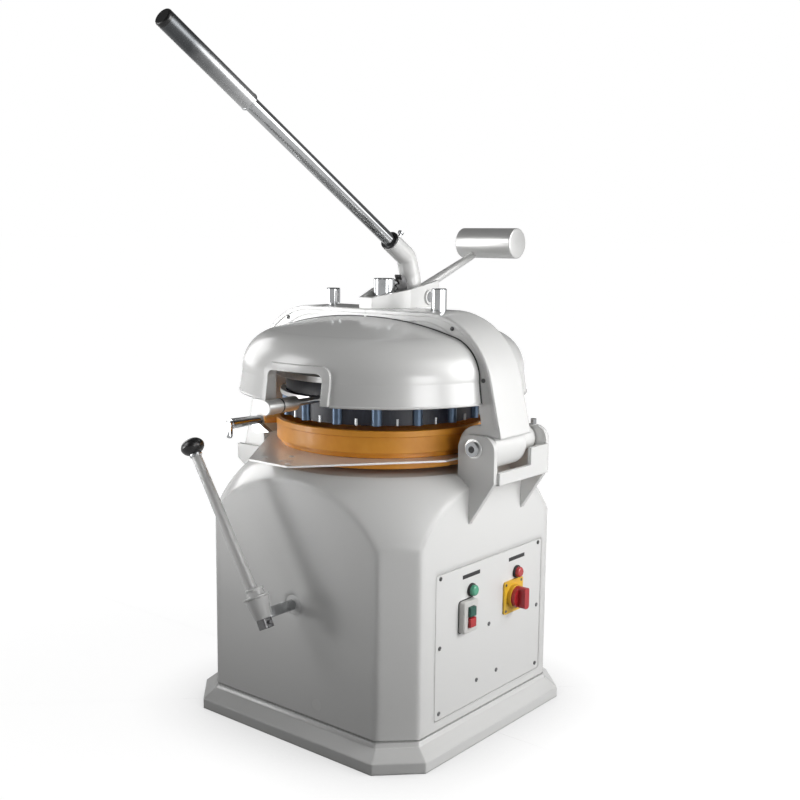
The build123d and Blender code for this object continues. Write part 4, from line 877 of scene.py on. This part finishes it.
station = dict(
    centre=(-0.079, 0.272), half=(0.025, 0.033), bend=0.006, bevel=0.002,
    window=(0.0112, 0.0222), windowBend=0.0006, front=0.305, floor=0.2985,
    keyHalf=(0.0105, 0.0100), keyBend=0.0022, keyBevel=0.0012, keyRise=0.0115,
    keyBack=0.3033, keyFront=0.311, cornerSteps=8,
)


# Loop round a rectangle with bent corners: point = corner centre + bend (cos a, sin a)
def bentRectangle(centre, half, bend):
    side = np.array([(1, -1), (1, 1), (-1, 1), (-1, -1)])
    bearing = np.radians(np.arange(4) * 90.0 - 45.0)
    turn = bearing[:, None] + np.radians(np.linspace(-45.0, 45.0, station["cornerSteps"]))
    heading = np.stack([np.cos(turn), np.sin(turn)], axis=-1)
    middles = np.array(centre) + side * (np.array(half) - bend)
    return (middles[:, None] + bend * heading).reshape(-1, 2), heading.reshape(-1, 2)


# Loops of y and z stood one behind another along +X, closed by a point in the middle at each end
def stacked(loops, depths, centre):
    middle = np.tile(centre, (len(loops[0]), 1))
    layers = zip((middle, *loops, middle), (depths[0], *depths, depths[-1]))
    return np.stack([np.insert(loop, 0, depth, axis=1) for loop, depth in layers])


# Station's case: a bevelled slab with one window, its floor behind the keys' travel
def stationCase(spec):
    centre, bend, bevel, front = (spec[key] for key in ("centre", "bend", "bevel", "front"))
    outer = bentRectangle(centre, spec["half"], bend)[0]
    lip = bentRectangle(centre, np.array(spec["half"]) - bevel, bend - bevel)[0]
    window = bentRectangle(centre, spec["window"], spec["windowBend"])[0]
    depths = (panelFace, front - bevel, front, front, spec["floor"])
    return stacked((outer, outer, lip, window, window), depths, centre)


# Push key: a square block with a bevelled face
def pushKey(spec, side):
    centre = (spec["centre"][0], spec["centre"][1] + side * spec["keyRise"])
    half, bend, bevel = spec["keyHalf"], spec["keyBend"], spec["keyBevel"]
    wall = bentRectangle(centre, half, bend)[0]
    face = bentRectangle(centre, np.array(half) - bevel, bend - bevel)[0]
    depths = (spec["keyBack"], spec["keyFront"] - bevel, spec["keyFront"])
    return stacked((wall, wall, face), depths, centre)


addPiece("stationCase", stationCase(station), "grey_plastic", "frame", "button_station")
addPiece("startKey", pushKey(station, 1), "green_plastic", "start_push", "start_button")
addPiece("stopKey", pushKey(station, -1), "red_plastic", "stop_push", "stop_button")

gasket = dict(
    centre=station["centre"], half=(0.0252, 0.0332), bend=0.0062, wide=0.0016,
    deep=0.0012, bevel=0.0004,
)


# Gasket under the station: a small section carried round a rectangle with bent corners
def stationGasket(spec):
    flat, heading = bentRectangle(spec["centre"], spec["half"], spec["bend"])
    path, normal = np.insert(flat, 0, panelFace, axis=1), np.insert(heading, 0, 0.0, axis=1)
    across = np.array((0.0, spec["wide"], spec["wide"] - spec["bevel"], 0.0))
    rise = np.array((0.0, 0.0, spec["deep"], spec["deep"]))
    return carried(across, rise, path, normal, (1.0, 0.0, 0.0))


addPiece("stationGasket", stationGasket(gasket), "black_plastic", "frame", closedRows=True)
print("cove and station made")

# Rounding lever's cup and sleeve: radius and height about its leaning axis
roundingHub = dict(
    lean=26.0, steps=64,
    radius=(0.0, 0.0155, 0.017, 0.0246, 0.025, 0.0244, 0.0205, 0.017, 0.017, 0.0162, 0.0),
    height=(-0.008, -0.008, -0.0068, 0.0336, 0.0344, 0.035, 0.035, 0.051, 0.0554, 0.056, 0.056),
)
hubLean = math.radians(roundingHub["lean"])
hubUp = np.array((-math.sin(hubLean), 0.0, math.cos(hubLean)))
hubCup = turned(roundingHub["radius"], roundingHub["height"], roundingPivot, hubUp,
                roundingHub["steps"])
addPiece("hubCup", hubCup, "white_enamel", "rounding_lever", "round_hub")

collar = dict(axis=hubUp, deep=0.005, round=0.0012)
collars = (dict(collar, level=0.035, inner=0.0195, outer=0.027),
           dict(collar, level=0.0505, inner=0.0165, outer=0.019))
collarRings = [plainRing(dict(one, foot=roundingPivot + hubUp * one["level"])) for one in collars]
addPiece("collarRings", np.stack(collarRings), "white_enamel", "rounding_lever", "hub_collars",
         closedRows=True)


# Near rectangle by bearing a: radius = ((|cos a| / first)^n + (|sin a| / second)^n)^(-1/n)
def squared(first, second, turn, power=7.0):
    wide, high = np.abs(np.cos(turn)) / first, np.abs(np.sin(turn)) / second
    return (wide ** power + high ** power) ** (-1.0 / power)


# Bar with bevelled ends: radius from low to high as height goes from start to end
def barProfile(start, end, low, high, bevel, bevelDeep):
    radius = np.array([0.0, low - bevel, low, high, high - bevel, 0.0])
    height = np.array([start, start, start + bevelDeep, end - bevelDeep, end, end])
    return radius, height


footBlock = dict(
    half=0.012, top=-0.0075, low=-0.028, bevel=0.0012,
    pinRadius=0.004, pinHalf=0.020, pinBevel=0.0006,
)


# Iron block under the cup: a squared section along the leaning axis
def hubFoot(spec, steps):
    half, low, top, bevel = (spec[key] for key in ("half", "low", "top", "bevel"))
    share = np.array([0.0, 1.0 - bevel / half, 1.0, 1.0, 0.0])
    radius = share[:, None] * squared(half, half, bearings(steps))
    return turned(radius, (low, low, low + bevel, top, top), roundingPivot, hubUp, steps)


# Cross pin through the block: a round bar with bevelled ends
def hubPin(spec):
    middle = roundingPivot + hubUp * (spec["low"] + spec["top"]) / 2
    half, radius, bevel = spec["pinHalf"], spec["pinRadius"], spec["pinBevel"]
    profile = barProfile(-half, half, radius, radius, bevel, bevel)
    return turned(*profile, middle, np.cross(hubUp, (0.0, 1.0, 0.0)), 32)


addPiece("hubFoot", hubFoot(footBlock, roundingHub["steps"]), "machine_iron", "rounding_lever")
addPiece("hubPin", hubPin(footBlock), "machine_iron", "rounding_lever")

taper = dict(reach=(0.044, 0.3595), radius=(0.0124, 0.0102), bevel=0.0008, steps=48)


# Rounding lever's rod: a long taper from the hub to the ball
def taperRod(spec):
    (start, end), (low, high), bevel = spec["reach"], spec["radius"], spec["bevel"]
    radius = (0.0, low, high, high - bevel, 0.0)
    height = (start, start, end - bevel, end, end)
    return turned(radius, height, roundingPivot, rodAlong, spec["steps"])


addPiece("taperRod", taperRod(taper), "white_enamel", "rounding_lever", "round_rod")

flatBar = dict(
    half=(0.0090, 0.0110), reach=(0.002, 0.082), bevelShare=0.06, bevelDeep=0.001,
)


# Flat bar along the rounding lever's shaft: a squared section along Y, turned to the hub's lean
def shaftBar(spec, steps):
    share, height = barProfile(*spec["reach"], 1.0, 1.0, spec["bevelShare"], spec["bevelDeep"])
    radius = share[:, None] * squared(*spec["half"], bearings(steps) + hubLean)
    return turned(radius, height, roundingPivot, (0, 1, 0), steps)


addPiece("shaftBar", shaftBar(flatBar, roundingHub["steps"]), "chrome", "rounding_lever")
print("rounding lever made")

# Lever's neck as y and z of its stations, the ways through them and radii
neck = dict(
    places=((0.090, 0.906), (0.088, 0.956), (0.0682, 0.9977), (0.0187, 1.028)),
    headings=((0.0, 1.0), (-0.4067, 0.9135), leverAlong[1:], leverAlong[1:]),
    radii=(0.025, 0.0225, 0.022, 0.022), bore=0.0146, boreDeep=0.006, lip=0.0012,
    steps=14, turnSteps=64,
    pivot=(0.0, 0.090, 0.906), hubHalf=0.046, hubRadius=0.020, hubBore=0.0121,
)


# Neck and socket: circles carried along cubic spans, each a Hermite blend of two places and ways
def leverNeck(spec):
    share = np.linspace(0.0, 1.0, spec["steps"], endpoint=False)[:, None]
    early = 2 * share ** 3 - 3 * share ** 2 + 1
    leaving, arriving = share ** 3 - 2 * share ** 2 + share, share ** 3 - share ** 2
    places, headings = np.array(spec["places"]), np.array(spec["headings"])
    spans, radius = [], [[0.0]]
    for first in range(len(places) - 1):
        start, end = places[first:first + 2]
        ways = leaving * headings[first] + arriving * headings[first + 1]
        spans.append(early * start + (1 - early) * end + np.linalg.norm(end - start) * ways)
        near, far = spec["radii"][first:first + 2]
        radius.append(near + (far - near) * share[:, 0])
    rim, ahead, tube, bore = places[-1], headings[-1], spec["radii"][-1], spec["bore"]
    floor = rim - ahead * spec["boreDeep"]
    socket = [rim - ahead * spec["lip"], rim, rim, floor, floor]
    radius = np.concatenate([*radius, [tube, tube - spec["lip"], bore, bore, 0.0]])
    spans = np.concatenate(spans)
    path = np.concatenate([places[:1], spans, socket])
    straight = np.tile(ahead, (len(socket), 1))
    along = np.concatenate([headings[:1], np.gradient(spans, axis=0), straight])
    along = along / np.linalg.norm(along, axis=1)[:, None]
    turn = bearings(spec["turnSteps"])
    side, up = radius[:, None] * np.cos(turn), radius[:, None] * np.sin(turn)
    y, z = path[:, :1] + up * along[:, 1:], path[:, 1:] - up * along[:, :1]
    return np.stack([side, y, z], axis=-1)


# Angles in degrees from +Y; crest and foot are half angles of a tooth
sector = dict(
    first=126.0, last=198.0, start=132.0, tooth=12.0, crest=1.4, foot=4.3,
    root=0.055, tip=0.064, inner=0.012, half=0.009, steps=361,
)


# Toothed sector: radius = tip within a crest of a tooth's middle, falling to root at its foot
def leverSector(spec, pivot):
    angle = np.linspace(spec["first"], spec["last"], spec["steps"])
    pitch = spec["tooth"]
    off = np.abs((angle - spec["start"] + pitch / 2) % pitch - pitch / 2)
    share = np.clip((spec["foot"] - off) / (spec["foot"] - spec["crest"]), 0.0, 1.0)
    edge = spec["root"] + (spec["tip"] - spec["root"]) * share
    inner = np.full(len(angle), spec["inner"])
    reach = np.stack([inner, edge, edge, inner])
    across = np.array((-1, -1, 1, 1))[:, None] * np.full(len(angle), spec["half"])
    way = np.radians(angle)
    grid = np.stack([across, reach * np.cos(way), reach * np.sin(way)], axis=-1)
    return np.array(pivot) + closedEnds(grid)


leverHub = dict(
    foot=(-neck["hubHalf"], *neck["pivot"][1:]), axis=(1, 0, 0), inner=neck["hubBore"],
    outer=neck["hubRadius"], deep=2 * neck["hubHalf"], round=0.002,
)
addPiece("leverNeck", leverNeck(neck), "white_enamel", "press_lever", "lever_arm")
addPiece("leverHub", plainRing(leverHub), "white_enamel", "press_lever", closedRows=True)
addPiece("leverSector", leverSector(sector, neck["pivot"]), "machine_iron", "press_lever",
         closedRows=True, closedColumns=False)

# Counterweight: a ring without a bore, across the machine
weight = dict(
    foot=(-0.042, 0.3504, 1.025), axis=(1, 0, 0), inner=0.0, outer=0.0355,
    deep=0.156, round=0.003,
)
addPiece("steelWeight", plainRing(weight, 6, 96), "stainless", "press_lever", "counterweight",
         coat=satinPaint)
print("press lever made")

dish = dict(
    radius=(0.0, 0.224, 0.224, 0.233, 0.234, 0.234, 0.237, 0.238, 0.238, 0.237, 0.227, 0.226,
               0.226, 0.0),
    height=(0.5923, 0.5923, 0.603, 0.603, 0.604, 0.637, 0.637, 0.638, 0.649, 0.650, 0.650, 0.649,
               0.606, 0.606),
    tabBearing=229.0, tabReach=0.262, tabHalf=0.023, tabRows=(6, 7, 8), steps=720,
)


# Moulding plate: a turned dish, its lip drawn out to a tab, radius = reach / cos(a - bearing)
def ochreDish(spec):
    off = bearings(spec["steps"]) - math.radians(spec["tabBearing"] - 90.0)
    radius = np.repeat(np.array(spec["radius"])[:, None], spec["steps"], axis=1)
    tab = (np.abs(np.sin(off)) * spec["tabReach"] < spec["tabHalf"]) & (np.cos(off) > 0)
    for row in spec["tabRows"]:
        radius[row, tab] = spec["tabReach"] / np.cos(off[tab])
    return turned(radius, spec["height"], (0, 0, 0), (0, 0, 1), spec["steps"])


addPiece("ochreDish", ochreDish(dish), "orange_plastic", "dough_plate", "moulding_plate")

clampLever = dict(
    foot=(-0.328, -0.0845, 0.608), radius=(0.0104, 0.0122), length=0.0705, bevel=0.001,
    tip=(0.0078, 0.0205), tipDrop=-0.0125, tipDeep=0.007, tipSeat=0.0004,
    tipBevelShare=0.07, tipPower=5.0, steps=48, tipSteps=64,
)


# Clamp's grip: a taper along -Y over the spindle, with bevelled ends
def clampGrip(spec):
    profile = barProfile(0.0, spec["length"], *spec["radius"], spec["bevel"], spec["bevel"])
    return turned(*profile, spec["foot"], (0, -1, 0), spec["steps"])


# Turned-down tip: a squared plate across the grip's end
def clampTip(spec):
    share, height = barProfile(0.0, spec["tipDeep"], 1.0, 1.0, spec["tipBevelShare"], spec["bevel"])
    outline = squared(*spec["tip"], bearings(spec["tipSteps"]), spec["tipPower"])
    foot = np.array(spec["foot"]) + (0.0, spec["tipSeat"] - spec["length"], spec["tipDrop"])
    return turned(share[:, None] * outline, height, foot, (0, -1, 0), spec["tipSteps"])


addPiece("clampGrip", clampGrip(clampLever), "chrome", "head_clamp", "clamp_handle")
addPiece("clampTip", clampTip(clampLever), "chrome", "head_clamp")
print("plate and clamp made")

centres = {
    "rodCentre": dict(foot=(0.0, 0.0, 0.947), radius=0.0222, body="ram"),
    "columnCentre": dict(foot=(0.150, 0.0, 0.930), radius=0.0158, body="knife_basket"),
    "adjusterCentre": dict(foot=(-0.150, 0.0, 0.921), radius=0.0148, body="weight_adjuster"),
}
facedEnd = dict(
    cone=(0.0, 0.0024, 0.0030), bevel=0.0006, steps=48,
    height=(-0.0012, 0.0006, 0.0007, 0.0007, 0.0001, -0.0013),
)


# Faced end with a lathe centre: a thin disc with a bevelled edge and a cone in its middle
def lathedEnd(spec, foot, radius):
    profile = (*spec["cone"], radius - spec["bevel"], radius, 0.0)
    return turned(profile, spec["height"], foot, (0, 0, 1), spec["steps"])


for name, spec in centres.items():
    addPiece(name, lathedEnd(facedEnd, spec["foot"], spec["radius"]), "chrome", spec["body"])

# Socket in the hinge pin's head as painted shade: a thin black disc standing for the shadowed
# hollow, turned
pinSocketShade = dict(
    foot=(hinge["side"], hinge["pinFront"], hinge["height"]), steps=36,
    radius=(0.0, 0.0026, 0.0062, 0.0070, 0.0070, 0.0),
    height=(0.0002, 0.0002, 0.0005, 0.0003, -0.0010, -0.0010),
)
socketShadeDisc = turned(pinSocketShade["radius"], pinSocketShade["height"], pinSocketShade["foot"], (0, -1, 0),
                    pinSocketShade["steps"])
addPiece("pinSocketShade", socketShadeDisc, "black_plastic", "frame")
print("faced ends and pin socket made")
